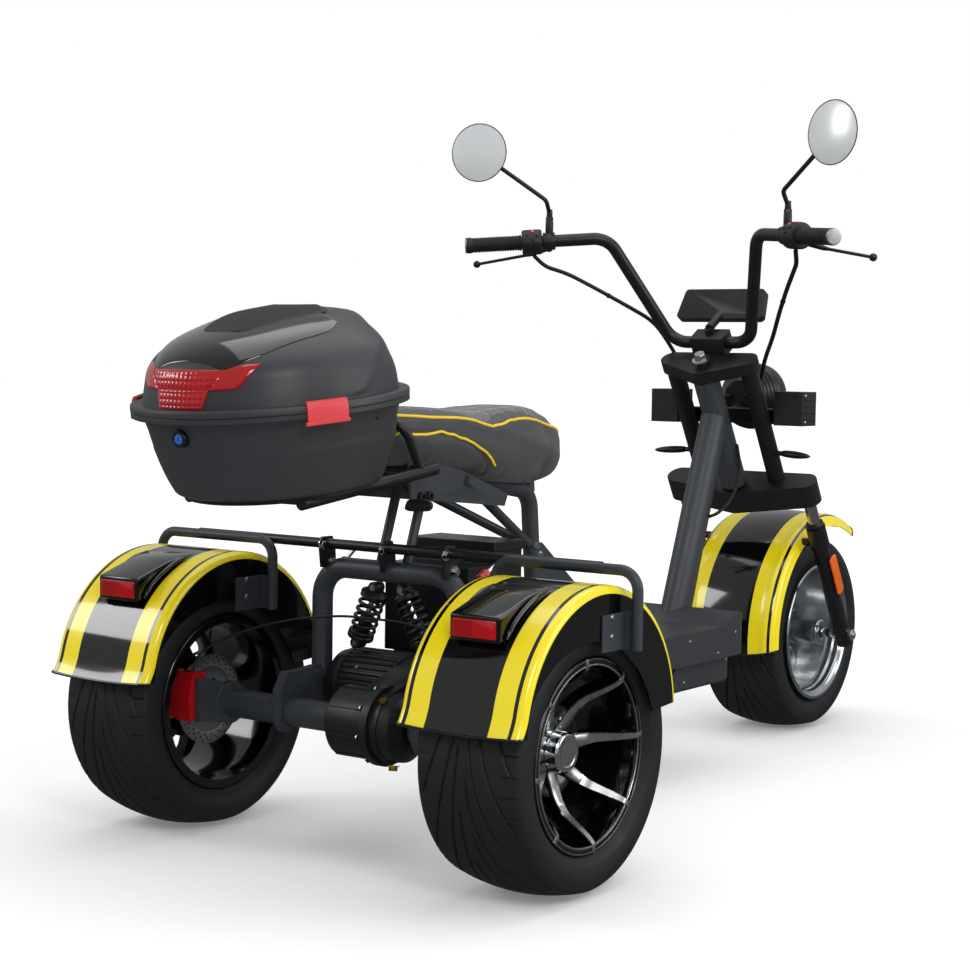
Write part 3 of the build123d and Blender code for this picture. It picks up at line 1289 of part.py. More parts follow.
lid_outer = case_loft(LID_SECTIONS, 0)
with BuildPart() as top_box_lid:
    add(lid_outer)
    rim_band(FIT, RIM_BAND)
    inner = [(z if z < LID_CURVE else z - SHELL, scale, shift) for z, scale, shift in LID_SECTIONS]
    inner[0] = (-1, *inner[0][1:])
    add(case_loft(inner, SHELL), mode=Mode.SUBTRACT)
    for x in (-HINGE_X, HINGE_X):
        case_block((x - 7, x + 7), (CASE_AHEAD - 8, HINGE_Y), (FIT, -HINGE_UP + HINGE_PIN))
        hinge_rod(x - 7, x + 7, HINGE_RADIUS)
        hinge_rod(x - 8, x + 8, HINGE_PIN + FIT, Mode.SUBTRACT)
save(top_box_lid, "top_box_lid")

LENS_SKIN = 2.0
PANEL_SKIN = 2.5


def lid_skin(thickness):
    """The lid's outer shape, thicker by a skin all round."""
    *lower, (height, scale, shift) = LID_SECTIONS
    return case_loft([*lower, (height + thickness, scale, shift)], -thickness)


with BuildPart() as lid_lens:
    add(lid_skin(LENS_SKIN))
    across = Plane(origin=in_case(0, -1.5 * CASE_BEHIND, 0), x_dir=(1, 0, 0), z_dir=-CASE_PLANE.y_dir)
    half_tee = [(46, RIM_BAND + 1), (54, 42), (96, 44), (108, 58), (122, 80), (95, 82), (76, 73)]
    with BuildSketch(across, mode=Mode.PRIVATE) as tee:
        with BuildLine():
            Polyline(*half_tee, *[(-x, z) for x, z in half_tee[::-1]], close=True)
        make_face()
    extrude(tee.sketch, amount=-1.5 * CASE_BEHIND, mode=Mode.INTERSECT)
    add(lid_outer, mode=Mode.SUBTRACT)
save(lid_lens, "lid_lens")

with BuildPart() as lid_panel:
    add(lid_skin(PANEL_SKIN))
    half_shield = [(72, -CASE_BEHIND), (78, -200), (111, -157), (146, -31), (121, 20)]
    with BuildSketch(CASE_PLANE.offset(LID_HEIGHT / 2), mode=Mode.PRIVATE) as shield:
        with BuildLine():
            Polyline(*half_shield, *[(-x, y) for x, y in half_shield[::-1]], close=True)
        make_face()
    extrude(shield.sketch, amount=CASE_DEPTH, mode=Mode.INTERSECT)
    add(lid_outer, mode=Mode.SUBTRACT)
    add(lid_lens.part, mode=Mode.SUBTRACT)
save(lid_panel, "lid_panel")

LATCH_MIDDLE = -112.0
LATCH_UP = 18.0
LATCH_SKIN = 6.0
with BuildPart() as latches:
    extrude(egg(-LATCH_UP, inset=-LATCH_SKIN), amount=2 * LATCH_UP)
    extrude(egg(-LATCH_UP, inset=-FIT), amount=2 * LATCH_UP, mode=Mode.SUBTRACT)
    reach = CASE_HALF + LATCH_SKIN + 1
    latch_y = (LATCH_MIDDLE - LATCH_LENGTH, LATCH_MIDDLE + LATCH_LENGTH)
    case_block((-reach, reach), latch_y, (-LATCH_UP, LATCH_UP), Mode.INTERSECT)
save(latches, "lid_latches")

# ---- hydraulic line between the rear brakes
LINE_RADIUS = 2.5
HALF_LINE = [
    (330, -76, 303.8),
    (326, -62, 336),
    (296, -30, 362),
    (246, 0, 384),
    (190, 24, 400),
    (130, 40, 411),
    (66, 48, 418),
]
LEFT_HALF = [(-x, forward, z) for x, forward, z in HALF_LINE]
BRAKE_LINE = LEFT_HALF + HALF_LINE[::-1]
LOOM_RADIUS = 5.0
LEFT_LOOM = [
    (-330, 1034, 1127),
    (-318, 1062, 1104),
    (-284, 1102, 1090),
    (-238, 1142, 1060),
    (-186, 1196, 1022),
    (-142, 1258, 984),
    (-114, 1292, 926),
    (-98, 1330, 868),
    (-72, 1372, 828),
    (-40, 1400, 812),
    (-20, 1411, 812),
]
RIGHT_LOOM = [
    (330, 1034, 1127),
    (320, 1060, 1102),
    (290, 1104, 1084),
    (252, 1152, 1052),
    (206, 1208, 1000),
    (168, 1256, 950),
    (134, 1286, 902),
    (104, 1328, 862),
    (72, 1368, 830),
    (40, 1400, 814),
    (20, 1411, 812),
]
FRAME_LOOM = [
    (35, 1347, 702),
    (39, 1358, 655),
    (41, 1342, 604),
    (40, 1303, 566),
    (36, 1256, 545),
    (35.2, 1224, 541),
]


def cord_radii(points):
    """Bend radius at each corner of a cord: 0.45 of the shorter run over tan(half the turn)."""
    radii = []
    for before, corner, after in zip(points, points[1:], points[2:]):
        first = Vector(*corner) - Vector(*before)
        second = Vector(*after) - Vector(*corner)
        half_turn = radians(first.get_angle(second)) / 2
        radii.append(0.45 * min(first.length, second.length) / tan(half_turn))
    return radii


def make_cord(name, routes, radius):
    """Cords held along their whole route, in straight runs joined by the widest arcs that fit."""
    with BuildPart() as cord:
        for route in routes:
            points = [(x, station(forward), z) for x, forward, z in route]
            radii = cord_radii(points)
            print(name, "bend radii", [round(bend) for bend in radii])
            tube(points, radii, radius)
    save(cord, name)


make_cord("brake_line", [BRAKE_LINE], LINE_RADIUS)
make_cord("steering_looms", [LEFT_LOOM, RIGHT_LOOM], LOOM_RADIUS)
make_cord("frame_loom", [FRAME_LOOM], LOOM_RADIUS - 1)
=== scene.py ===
import bmesh
import bpy
import numpy as np
from mathutils import Matrix, Vector


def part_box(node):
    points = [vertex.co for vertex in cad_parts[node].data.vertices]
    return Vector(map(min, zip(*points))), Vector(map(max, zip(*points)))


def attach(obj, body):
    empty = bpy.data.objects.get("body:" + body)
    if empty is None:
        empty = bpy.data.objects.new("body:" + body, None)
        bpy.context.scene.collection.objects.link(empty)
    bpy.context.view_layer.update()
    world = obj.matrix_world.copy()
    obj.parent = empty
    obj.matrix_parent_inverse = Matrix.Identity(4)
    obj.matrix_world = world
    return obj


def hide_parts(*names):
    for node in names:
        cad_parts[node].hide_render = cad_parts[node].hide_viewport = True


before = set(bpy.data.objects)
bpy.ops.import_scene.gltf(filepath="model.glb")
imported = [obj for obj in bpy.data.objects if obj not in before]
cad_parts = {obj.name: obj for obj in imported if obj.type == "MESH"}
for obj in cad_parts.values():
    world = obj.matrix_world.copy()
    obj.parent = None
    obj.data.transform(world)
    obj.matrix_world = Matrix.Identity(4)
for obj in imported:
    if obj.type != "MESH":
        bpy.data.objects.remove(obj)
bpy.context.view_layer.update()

# The machine stands on Z = 0, faces +Y, and +X is its right. Lengths are metres.
MM = 0.001
REAR_LOW, REAR_HIGH = (np.array(corner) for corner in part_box("rear_tyre_right"))
FRONT_LOW, FRONT_HIGH = (np.array(corner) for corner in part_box("front_tyre"))
REAR_AXLE = (REAR_LOW + REAR_HIGH) / 2 * [0, 1, 1]
FRONT_AXLE = (FRONT_LOW + FRONT_HIGH) / 2 * [0, 1, 1]
WHEEL_X = (REAR_LOW[0] + REAR_HIGH[0]) / 2
SIDES = {"left": -1, "right": 1}
# in millimetres: the tyres' radius, and the middle of a tail lamp across the machine
TREAD_RADIUS = 238.5
TAIL_LAMP_X = 400
# in degrees: the first spoke of a rear wheel above straight ahead
FIRST_SPOKE = 5.5
# in millimetres: the rear discs and the fork's legs across the machine
REAR_DISC_X = 359
FORK_LEG_X = 166


# ---------------------------------------------------------------- camera and studio
def aim(obj, place, yaw, pitch, roll):
    """Puts a camera at place: yaw to the left of +Y, pitch down and roll clockwise, in degrees."""
    yaw, pitch, roll = np.radians([yaw, pitch, roll])
    ahead = np.array([-np.sin(yaw) * np.cos(pitch), np.cos(yaw) * np.cos(pitch), -np.sin(pitch)])
    level = np.array([np.cos(yaw), np.sin(yaw), 0.0])
    up = np.cross(level, ahead)
    side = level * np.cos(roll) + up * np.sin(roll)
    axes = np.stack([side, np.cross(side, ahead), -ahead], axis=1)
    obj.matrix_world = Matrix.Translation(place) @ Matrix(axes.tolist()).to_4x4()


camera = bpy.data.objects.new("camera", bpy.data.cameras.new("camera"))
camera.data.sensor_width = 36
camera.data.lens = 73.78
bpy.context.scene.collection.objects.link(camera)
bpy.context.scene.camera = camera
aim(camera, (2.229, -3.46375, 0.890), 35.37, 3.62, 0.92)
bpy.context.scene.view_settings.view_transform = "Standard"


def linear(code):
    """An sRGB hex value as linear red, green, blue and alpha."""
    value = np.array([int(code[i:i + 2], 16) for i in (0, 2, 4)]) / 255
    return (*np.where(value <= 0.04045, value / 12.92, ((value + 0.055) / 1.055) ** 2.4), 1.0)


def add_node(tree, kind, inputs=(), **settings):
    """Adds one node: settings are its properties, inputs pair a socket with a value or with the output
    that feeds it."""
    node = tree.nodes.new("ShaderNode" + kind)
    for name, value in settings.items():
        setattr(node, name, value)
    for socket, value in dict(inputs).items():
        if isinstance(value, bpy.types.NodeSocket):
            tree.links.new(value, node.inputs[socket])
        else:
            node.inputs[socket].default_value = value
    return node


world = bpy.data.worlds.new("studio")
bpy.context.scene.world = world
world.use_nodes = True
sky = world.node_tree
sky.nodes.clear()
path = add_node(sky, "LightPath")
plain = add_node(sky, "Background", {"Color": linear("F4F6F8"), "Strength": 0.62})
dark = add_node(sky, "Background", {"Color": linear("F4F6F8"), "Strength": 0.42})
bright = add_node(sky, "Background", {"Color": (1, 1, 1, 1), "Strength": 1.0})
mirrored_sky = add_node(
    sky, "MixShader", {0: path.outputs["Is Glossy Ray"], 1: plain.outputs[0], 2: dark.outputs[0]},
)
mixed = add_node(
    sky, "MixShader", {0: path.outputs["Is Camera Ray"], 1: mirrored_sky.outputs[0], 2: bright.outputs[0]},
)
add_node(sky, "OutputWorld", {"Surface": mixed.outputs[0]})


def soft_light(name, place, target, size, power):
    """A square soft box at place that faces target."""
    lamp = bpy.data.lights.new(name, "AREA")
    lamp.shape = "RECTANGLE"
    lamp.size, lamp.size_y = size
    lamp.energy = power
    obj = bpy.data.objects.new(name, lamp)
    bpy.context.scene.collection.objects.link(obj)
    away = Vector(place) - Vector(target)
    obj.matrix_world = Matrix.Translation(place) @ away.to_track_quat("Z", "Y").to_matrix().to_4x4()


soft_light("overhead", (0.2, 0.2, 3.4), (0, 0, 0.4), (3.2, 3.6), 44)
soft_light("behind_left", (-3.0, -2.6, 2.4), (0, -0.2, 0.4), (1.1, 1.3), 26)
soft_light("behind_right", (3.2, -2.8, 2.6), (0, 0, 0.5), (1.2, 1.2), 40)
soft_light("right_side", (3.6, 0.9, 1.8), (0, 0.2, 0.5), (2.0, 2.2), 36)


# ---------------------------------------------------------------- finishes
def finish(name, colour, roughness, metallic=0.0, **constants):
    """A material with one Principled shader of constant values; returns the material, its tree and its
    shader."""
    material = bpy.data.materials.new(name)
    material.use_nodes = True
    tree = material.node_tree
    shader = next(n for n in tree.nodes if n.type == "BSDF_PRINCIPLED")
    shader.inputs["Base Color"].default_value = linear(colour)
    shader.inputs["Roughness"].default_value = roughness
    shader.inputs["Metallic"].default_value = metallic
    for socket, value in constants.items():
        shader.inputs[socket.replace("_", " ")].default_value = value
    return material, tree, shader


def grain(made, width, depth, spread=0.0, patch=0.06, tint=0.0):
    """Adds grains of a width and depth in metres, and patches where roughness and colour vary by spread
    and tint."""
    material, tree, shader = made
    place = add_node(tree, "TexCoord").outputs["Object"]
    if depth:
        fine = add_node(
            tree, "TexNoise", {"Vector": place, "Scale": 1 / width, "Detail": 3.0, "Roughness": 0.6},
        )
        bump = add_node(tree, "Bump", {"Height": fine.outputs["Fac"], "Distance": depth, "Strength": 1.0})
        tree.links.new(bump.outputs[0], shader.inputs["Normal"])
    if spread or tint:
        broad = add_node(
            tree, "TexNoise", {"Vector": place, "Scale": 1 / patch, "Detail": 4.0, "Roughness": 0.55},
        )
        middle = shader.inputs["Roughness"].default_value
        span = add_node(
            tree,
            "MapRange",
            {0: broad.outputs["Fac"], 1: 0.3, 2: 0.7, 3: max(0.02, middle - spread), 4: middle + spread},
        )
        tree.links.new(span.outputs[0], shader.inputs["Roughness"])
        if tint:
            colour = tuple(shader.inputs["Base Color"].default_value)[:3]
            darker = tuple(c * (1 - tint) for c in colour) + (1,)
            lighter = tuple(min(1, c * (1 + tint)) for c in colour) + (1,)
            shaded = add_node(
                tree,
                "Mix",
                {0: broad.outputs["Fac"], 6: darker, 7: lighter},
                data_type="RGBA",
            )
            tree.links.new(shaded.outputs[2], shader.inputs["Base Color"])
    return material


# Natural rubber with carbon black, moulded: dull, with a fine grain from the mould.
RUBBER = grain(
    finish("moulded_rubber", "1A1B1D", 0.56, Specular_IOR_Level=0.42), 1.3 * MM, 0.05 * MM, 0.08, tint=0.12,
)
# ABS lacquered black and clear-coated: a deep black mirror.
BLACK_LACQUER = grain(
    finish("black_lacquered_abs", "050506", 0.10, Coat_Weight=0.6, Coat_Roughness=0.04), 9 * MM, 0.02 * MM,
    0.02,
)
# The same mouldings masked and sprayed yellow under one clear coat.
YELLOW_LACQUER = grain(
    finish("yellow_lacquered_abs", "F7E01C", 0.22, Coat_Weight=0.5, Coat_Roughness=0.05), 9 * MM, 0.02 * MM,
    0.03, tint=0.04,
)
# Cast aluminium under gloss black enamel.
BLACK_ENAMEL = grain(
    finish("black_enamelled_aluminium", "060607", 0.14, Coat_Weight=0.5, Coat_Roughness=0.05), 3 * MM,
    0.02 * MM, 0.03,
)
# Aluminium cut bright on a lathe: silver, with faint turning lines.
CUT_ALLOY = grain(finish("diamond_cut_aluminium", "D4D6D8", 0.27, 1.0), 0.8 * MM, 0.01 * MM, 0.06, 0.02)
# Cast aluminium, polished by wheel.
POLISHED_ALLOY = grain(finish("polished_aluminium", "CDD0D3", 0.2, 1.0), 2.2 * MM, 0.02 * MM, 0.06, 0.03)
# Steel plated with bright chrome.
CHROME = grain(finish("chrome_plate", "DFE1E3", 0.07, 1.0), 20 * MM, 0.02 * MM, 0.02)
# Stainless steel sheet, ground flat.
DISC_STEEL = grain(finish("ground_stainless_steel", "A9ABAD", 0.32, 1.0), 0.7 * MM, 0.015 * MM, 0.06, 0.02)
# Steel tube under powder coat: dark slate, satin, with a faint orange peel.
POWDER_COAT = grain(finish("slate_powder_coat", "33373C", 0.44), 1.6 * MM, 0.035 * MM, 0.05, tint=0.08)
# Small steel parts in black powder coat.
BLACK_COAT = grain(finish("black_powder_coat", "141517", 0.36), 1.6 * MM, 0.03 * MM, 0.05)
# Die-cast aluminium in matt black: a little grey, sandy.
CAST_BLACK = grain(finish("black_die_cast_aluminium", "17181A", 0.42), 1.1 * MM, 0.08 * MM, 0.07, tint=0.15)
# Polypropylene moulded in a textured tool.
GRAINED_BOX = grain(finish("grained_polypropylene", "323337", 0.44), 1.1 * MM, 0.07 * MM, 0.05, tint=0.06)
# ABS moulded in a fine satin tool.
BLACK_ABS = grain(finish("satin_black_abs", "141516", 0.33), 0.9 * MM, 0.03 * MM, 0.05)
# Polycarbonate dyed red, clear and glossy.
RED_LENS = grain(
    finish("red_polycarbonate", "A8060B", 0.10, Coat_Weight=0.6, Coat_Roughness=0.03), 4 * MM, 0.0, 0.02,
    tint=0.2,
)
# The same polycarbonate over a dark reflector, painted darker: painted shade seen through its prisms.
SHADED_PRISM_RED = grain(
    finish("red_polycarbonate_painted_shade", "5E0508", 0.12, Coat_Weight=0.5, Coat_Roughness=0.03), 4 * MM, 0.0,
    0.02,
)
# Thermoplastic rubber mat, dull grey-black.
SOFT_PAD = grain(finish("ribbed_rubber_mat", "2B2C2E", 0.62), 0.9 * MM, 0.04 * MM, 0.05)
# Blue polypropylene disc of the lock.
BLUE_PLASTIC = grain(finish("blue_polypropylene", "1C63B8", 0.4), 1.0 * MM, 0.02 * MM, 0.04)
# Acetal moulded coral red.
CORAL_ACETAL = grain(finish("coral_acetal", "DB4044", 0.38), 1.2 * MM, 0.02 * MM, 0.05, tint=0.05)
# Aluminium caliper body, anodised and lacquered red.
CALIPER_RED = grain(
    finish("red_anodised_aluminium", "B01015", 0.22, Coat_Weight=0.5, Coat_Roughness=0.08), 1.4 * MM,
    0.03 * MM, 0.04,
)
# Glass, half matt, with a faint real reflection and a pale colour that is a painted reflection of the bright
# studio.
PALE_GLASS_PAINTED_REFLECTION = grain(finish("glass_with_painted_reflection", "D9DBDC", 0.22, 0.25), 40 * MM, 0.0, 0.01)
# Cable sleeve: polyamide, corrugated.
SLEEVE = grain(finish("black_polyamide_sleeve", "101112", 0.4), 1.0 * MM, 0.02 * MM, 0.05)
# Thermoplastic rubber of the grips.
GRIP_RUBBER = grain(finish("grip_rubber", "161718", 0.6), 0.8 * MM, 0.05 * MM, 0.05)
# Amber reflector and turn lamp plastic.
AMBER = grain(finish("amber_polycarbonate", "D9610B", 0.12, Coat_Weight=0.5), 4 * MM, 0.0, 0.02, tint=0.12)
# Turned brass plug.
BRASS = grain(finish("turned_brass", "C9A24A", 0.3, 1.0), 1.0 * MM, 0.01 * MM, 0.05)

NODE_FINISH = {
    BLACK_LACQUER: ["rear_fender_left", "rear_fender_right", "front_fender", "lid_panel"],
    RUBBER: ["front_tyre", "rear_tyre_left", "rear_tyre_right"],
    BLACK_ENAMEL: ["rear_rim_left", "rear_rim_right"], POLISHED_ALLOY: ["front_rim", "fork_stanchions"],
    CHROME: ["hub_cap_left", "hub_cap_right"],
    DISC_STEEL: ["front_disc", "rear_disc_left", "rear_disc_right"],
    POWDER_COAT: ["main_frame", "rear_arch", "seat_frame", "axle_housing", "fender_rails"],
    BLACK_COAT: [
        "rear_rack", "fork_tubes", "fork_sliders", "handlebar", "mirrors", "levers", "cross_bar", "shocks",
        "front_axle",
    ],
    CAST_BLACK: ["gearbox", "drive_motor", "top_clamp", "lower_crown", "controls"],
    GRAINED_BOX: ["top_box", "top_box_lid", "footboard", "floor_case"],
    BLACK_ABS: ["battery_box", "display", "headlamp", "aux_lamps"], RED_LENS: ["tail_lamps", "lid_lens"],
    CORAL_ACETAL: ["lid_latches"], CALIPER_RED: ["rear_calipers", "front_caliper"],
    PALE_GLASS_PAINTED_REFLECTION: ["mirror_glass"], SLEEVE: ["brake_line", "frame_loom", "steering_looms"],
    GRIP_RUBBER: ["grips", "seat"], AMBER: ["indicators"],
}
for material, names in NODE_FINISH.items():
    for name in names:
        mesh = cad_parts[name].data
        mesh.materials.clear()
        mesh.materials.append(material)


# ---------------------------------------------------------------- ways of making a surface
def quads(rows, columns, wrap_rows=False, wrap_columns=True):
    """Faces between neighbouring points of a grid that is stored row by row."""
    i, j = np.meshgrid(
        np.arange(rows if wrap_rows else rows - 1), np.arange(columns if wrap_columns else columns - 1),
        indexing="ij",
    )
    after, right = (i + 1) % rows, (j + 1) % columns
    corners = [i * columns + j, after * columns + j, after * columns + right, i * columns + right]
    return np.stack(corners, -1).reshape(-1, 4)


def skin(points, wrap_rows=False, wrap_columns=True, caps=True):
    """A grid of points as (vertices, faces), with a fan over its first and last row where they are open."""
    rows, columns = points.shape[:2]
    vertices = points.reshape(-1, 3)
    faces = quads(rows, columns, wrap_rows, wrap_columns).tolist()
    if caps and wrap_columns and not wrap_rows:
        for row in (0, rows - 1):
            ring = row * columns + np.arange(columns)
            hub = np.full(columns, len(vertices))
            vertices = np.vstack([vertices, points[row].mean(0)])
            faces += np.stack([ring, np.roll(ring, -1), hub], 1).tolist()
    return vertices, faces


def shown(name, mesh, body, replaces, smooth):
    """A mesh as an object of the scene: smooth below an angle, riding a body, in place of CAD
    nodes."""
    mesh.polygons.foreach_set("use_smooth", np.ones(len(mesh.polygons), bool))
    mesh.set_sharp_from_angle(angle=np.radians(smooth))
    obj = bpy.data.objects.new(name, mesh)
    bpy.context.scene.collection.objects.link(obj)
    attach(obj, body)
    if replaces:
        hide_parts(*replaces)
    return obj


def piece(name, body, parts, replaces=(), smooth=32):
    """One object from (material, (vertices, faces)) parts: doubles merged and faces turned outwards."""
    vertices, faces, owners, materials = [], [], [], []
    count = 0
    for material, (points, polygons) in parts:
        if material not in materials:
            materials.append(material)
        vertices.append(np.asarray(points, float).reshape(-1, 3))
        faces += [[corner + count for corner in polygon] for polygon in polygons]
        owners += [materials.index(material)] * len(polygons)
        count += len(vertices[-1])
    mesh = bpy.data.meshes.new(name)
    mesh.from_pydata(np.vstack(vertices).tolist(), [], faces)
    mesh.polygons.foreach_set("material_index", np.array(owners, np.int32))
    for material in materials:
        mesh.materials.append(material)
    solid = bmesh.new()
    solid.from_mesh(mesh)
    bmesh.ops.remove_doubles(solid, verts=solid.verts, dist=1e-6)
    bmesh.ops.recalc_face_normals(solid, faces=solid.faces)
    solid.to_mesh(mesh)
    solid.free()
    return shown(name, mesh, body, replaces, smooth)


def curve(points, steps):
    """A smooth line through a few points, steps long, as a Catmull-Rom spline."""
    p = np.asarray(points, float)
    p = np.vstack([2 * p[0] - p[1], p, 2 * p[-1] - p[-2]])
    spans = len(p) - 3
    t = np.linspace(0, spans, steps)
    k = np.minimum(t.astype(int), spans - 1)
    u = (t - k)[:, None]
    a, b, c, d = p[k], p[k + 1], p[k + 2], p[k + 3]
    return 0.5 * (2 * b + (c - a) * u + (2 * a - 5 * b + 4 * c - d) * u**2 + (3 * b - a - 3 * c + d) * u**3)


def rounded(points, radius, steps=5, closed=True):
    """A polyline whose corners are rounded: each is cut back by radius and bridged by a quadratic curve."""
    p = np.asarray(points, float)
    radius = np.broadcast_to(np.asarray(radius, float), (len(p),))[:, None]
    before, after = np.roll(p, 1, 0) - p, np.roll(p, -1, 0) - p
    long_before = np.linalg.norm(before, axis=1, keepdims=True)
    long_after = np.linalg.norm(after, axis=1, keepdims=True)
    start = p + before / long_before * np.minimum(radius, long_before * 0.49)
    end = p + after / long_after * np.minimum(radius, long_after * 0.49)
    t = np.linspace(0, 1, steps)[None, :, None]
    arcs = start[:, None] * (1 - t) ** 2 + 2 * p[:, None] * t * (1 - t) + end[:, None] * t**2
    if not closed:
        arcs[0] = p[0]
        arcs[-1] = p[-1]
    return arcs.reshape(-1, p.shape[1])


def bent(points, radii, steps=9):
    """A line of straight runs whose corners are true arcs of the given radii."""
    p = np.asarray(points, float)
    line = [p[:1]]
    for before, corner, after, radius in zip(p, p[1:], p[2:], radii):
        u, v = before - corner, after - corner
        u, v = u / np.linalg.norm(u), v / np.linalg.norm(v)
        half = np.arccos(np.clip(u @ v, -1, 1)) / 2
        middle = corner + (u + v) / np.linalg.norm(u + v) * radius / np.sin(half)
        start, end = corner + u * radius / np.tan(half), corner + v * radius / np.tan(half)
        turn = np.linspace(0, 1, steps)[:, None] * (np.pi - 2 * half)
        a = (start - middle) / radius
        b = (end - middle) / radius
        b = (b - a * (a @ b)) / np.linalg.norm(b - a * (a @ b))
        line.append(middle + radius * (a * np.cos(turn) + b * np.sin(turn)))
    line.append(p[-1:])
    return np.vstack(line)


def along(path, outline, scale=1.0, up=(0, 0, 1)):
    """An outline of (side, up) points carried along a path, square to it; up leans towards the given
    direction."""
    path = np.asarray(path, float)
    ahead = np.gradient(path, axis=0)
    ahead /= np.linalg.norm(ahead, axis=1, keepdims=True)
    side = np.cross(ahead, np.broadcast_to(np.asarray(up, float), path.shape))
    side /= np.linalg.norm(side, axis=1, keepdims=True)
    rise = np.cross(side, ahead)
    outline = np.asarray(outline, float)
    scale = np.broadcast_to(scale, (len(path),))[:, None, None]
    return path[:, None] + scale * (
        outline[None, :, :1] * side[:, None] + outline[None, :, 1:] * rise[:, None]
    )


def circle(radius, steps=24):
    """Points of a circle as (side, up)."""
    t = np.linspace(0, 2 * np.pi, steps, endpoint=False)
    return radius * np.stack([np.cos(t), np.sin(t)], 1)


def pipe(path, radius, steps=24, up=(0, 0, 1)):
    """A round tube along a path; radius may vary along it."""
    return skin(along(path, circle(1.0, steps), radius, up))


def turned(profile, centre, axis=(1, 0, 0), steps=64, closed=False):
    """A profile of (along, radius) points turned about an axis: centre + axis * along + radius * (side
    cos t + rise sin t)."""
    axis = np.asarray(axis, float) / np.linalg.norm(axis)
    side = np.cross(axis, (0, 0, 1) if abs(axis[2]) < 0.9 else (1, 0, 0))
    side /= np.linalg.norm(side)
    rise = np.cross(axis, side)
    t = np.linspace(0, 2 * np.pi, steps, endpoint=False)[None, :, None]
    profile = np.asarray(profile, float)
    points = np.asarray(centre, float) + profile[:, :1, None] * axis + profile[:, 1:, None] * (
        side * np.cos(t) + rise * np.sin(t)
    )
    return skin(points, wrap_rows=closed, caps=False)


def softened(profile, radius, steps=4):
    """An open profile whose corners are rounded, its two ends kept."""
    return rounded(profile, radius, steps, closed=False)


def plate(outline, origin, right, up, thickness, edge=0.0):
    """A flat closed outline of (right, up) points given thickness, with a rounded edge of that size on
    both faces."""
    right, up = (np.asarray(v, float) / np.linalg.norm(v) for v in (right, up))
    out = np.cross(right, up)
    flat = np.asarray(outline, float)
    ahead = np.roll(flat, -1, 0) - np.roll(flat, 1, 0)
    area = np.sum(flat[:, 0] * np.roll(flat[:, 1], -1) - flat[:, 1] * np.roll(flat[:, 0], -1))
    inward = np.stack([-ahead[:, 1], ahead[:, 0]], 1) * np.sign(area)
    inward /= np.maximum(np.linalg.norm(inward, axis=1, keepdims=True), 1e-12)
    t = np.linspace(0, np.pi / 2, 4) if edge else np.zeros(1)
    inset = edge * (1 - np.sin(t))
    height = edge * (1 - np.cos(t))
    insets = np.concatenate([inset, inset[::-1]])
    heights = np.concatenate([height, thickness - height[::-1]])
    rings = flat[None] + insets[:, None, None] * inward[None]
    points = rings[..., :1] * right + rings[..., 1:] * up + heights[:, None, None] * out
    points = np.asarray(origin, float) + points
    vertices = points.reshape(-1, 3)
    rows, columns = points.shape[:2]
    faces = quads(rows, columns).tolist()
    faces.append(list(range(columns)))
    faces.append(list(range((rows - 1) * columns, rows * columns)))
    return vertices, faces


def set_plate(outline, thickness, edge, origin, across, up, out):
    """A plate whose outline and thickness, in millimetres, run along three directions from an origin in
    metres."""
    points, faces = plate(outline, (0, 0, 0), (1, 0, 0), (0, 1, 0), thickness, edge)
    return origin + (points[:, :1] * across + points[:, 1:2] * up + points[:, 2:] * out) * MM, faces


def lathe(profile, centre, axis, steps, closed=False):
    """A profile of (along, radius) points in millimetres, turned about an axis."""
    return turned(np.array(profile) * MM, centre, axis, steps, closed)


def joined(*parts):
    """Several surfaces of one material as one."""
    vertices, faces, count = [], [], 0
    for points, polygons in parts:
        vertices.append(points)
        faces += [[corner + count for corner in polygon] for polygon in polygons]
        count += len(points)
    return np.vstack(vertices), faces


def screw(centre, axis, radius, height):
    """A button-head screw: domed rim and a round socket in its middle."""
    r, h = radius, height
    profile = [
        (0, r), (0.35 * h, r), (0.75 * h, 0.86 * r), (h, 0.6 * r), (h, 0.42 * r), (0.45 * h, 0.4 * r),
        (0.45 * h, 0),
    ]
    return turned([(0, 0)] + profile, centre, axis, 20)


def hexagon(centre, axis, radius, height):
    """A hexagonal head or nut with its corners turned down at the top."""
    profile = [(0, 0), (0, radius), (height * 0.8, radius), (height, radius * 0.88), (height, 0)]
    return turned(profile, centre, axis, 6)


# ---------------------------------------------------------------- tyres
def tyre_profile(half):
    """Half of a tyre's section from the middle of the tread to the bore, as (across, radius) in
    millimetres."""
    crown = np.arange(0, 94.5, 1.4)
    tread = np.stack([crown, TREAD_RADIUS - 14 * (crown / 94.5) ** 2], 1)
    wall = curve([
        (94.5, 224.5), (99.6, 219.5), (101.9, 212), (103.5, 199.3), (101, 185), (95, 174), (91.5, 170),
        (88, 166.3), (83.5, 165.6),
    ], 27)
    line = np.vstack([tread, wall, [(83.5, 158), (83.5, 152.8), (40, 152.8)]])
    # a raised ring low on the wall and a fine one near its widest line
    line[:, 0] += np.where(line[:, 0] > 90, 1.1 * np.exp(-((line[:, 1] - 181) / 2.2) ** 2), 0)
    line[:, 0] += np.where(line[:, 0] > 90, 0.7 * np.exp(-((line[:, 1] - 205) / 1.2) ** 2), 0)
    line[:, 0] -= np.where(line[:, 0] > 60, (103.5 - half) * (line[:, 0] - 60) / 43.5, 0)
    return line


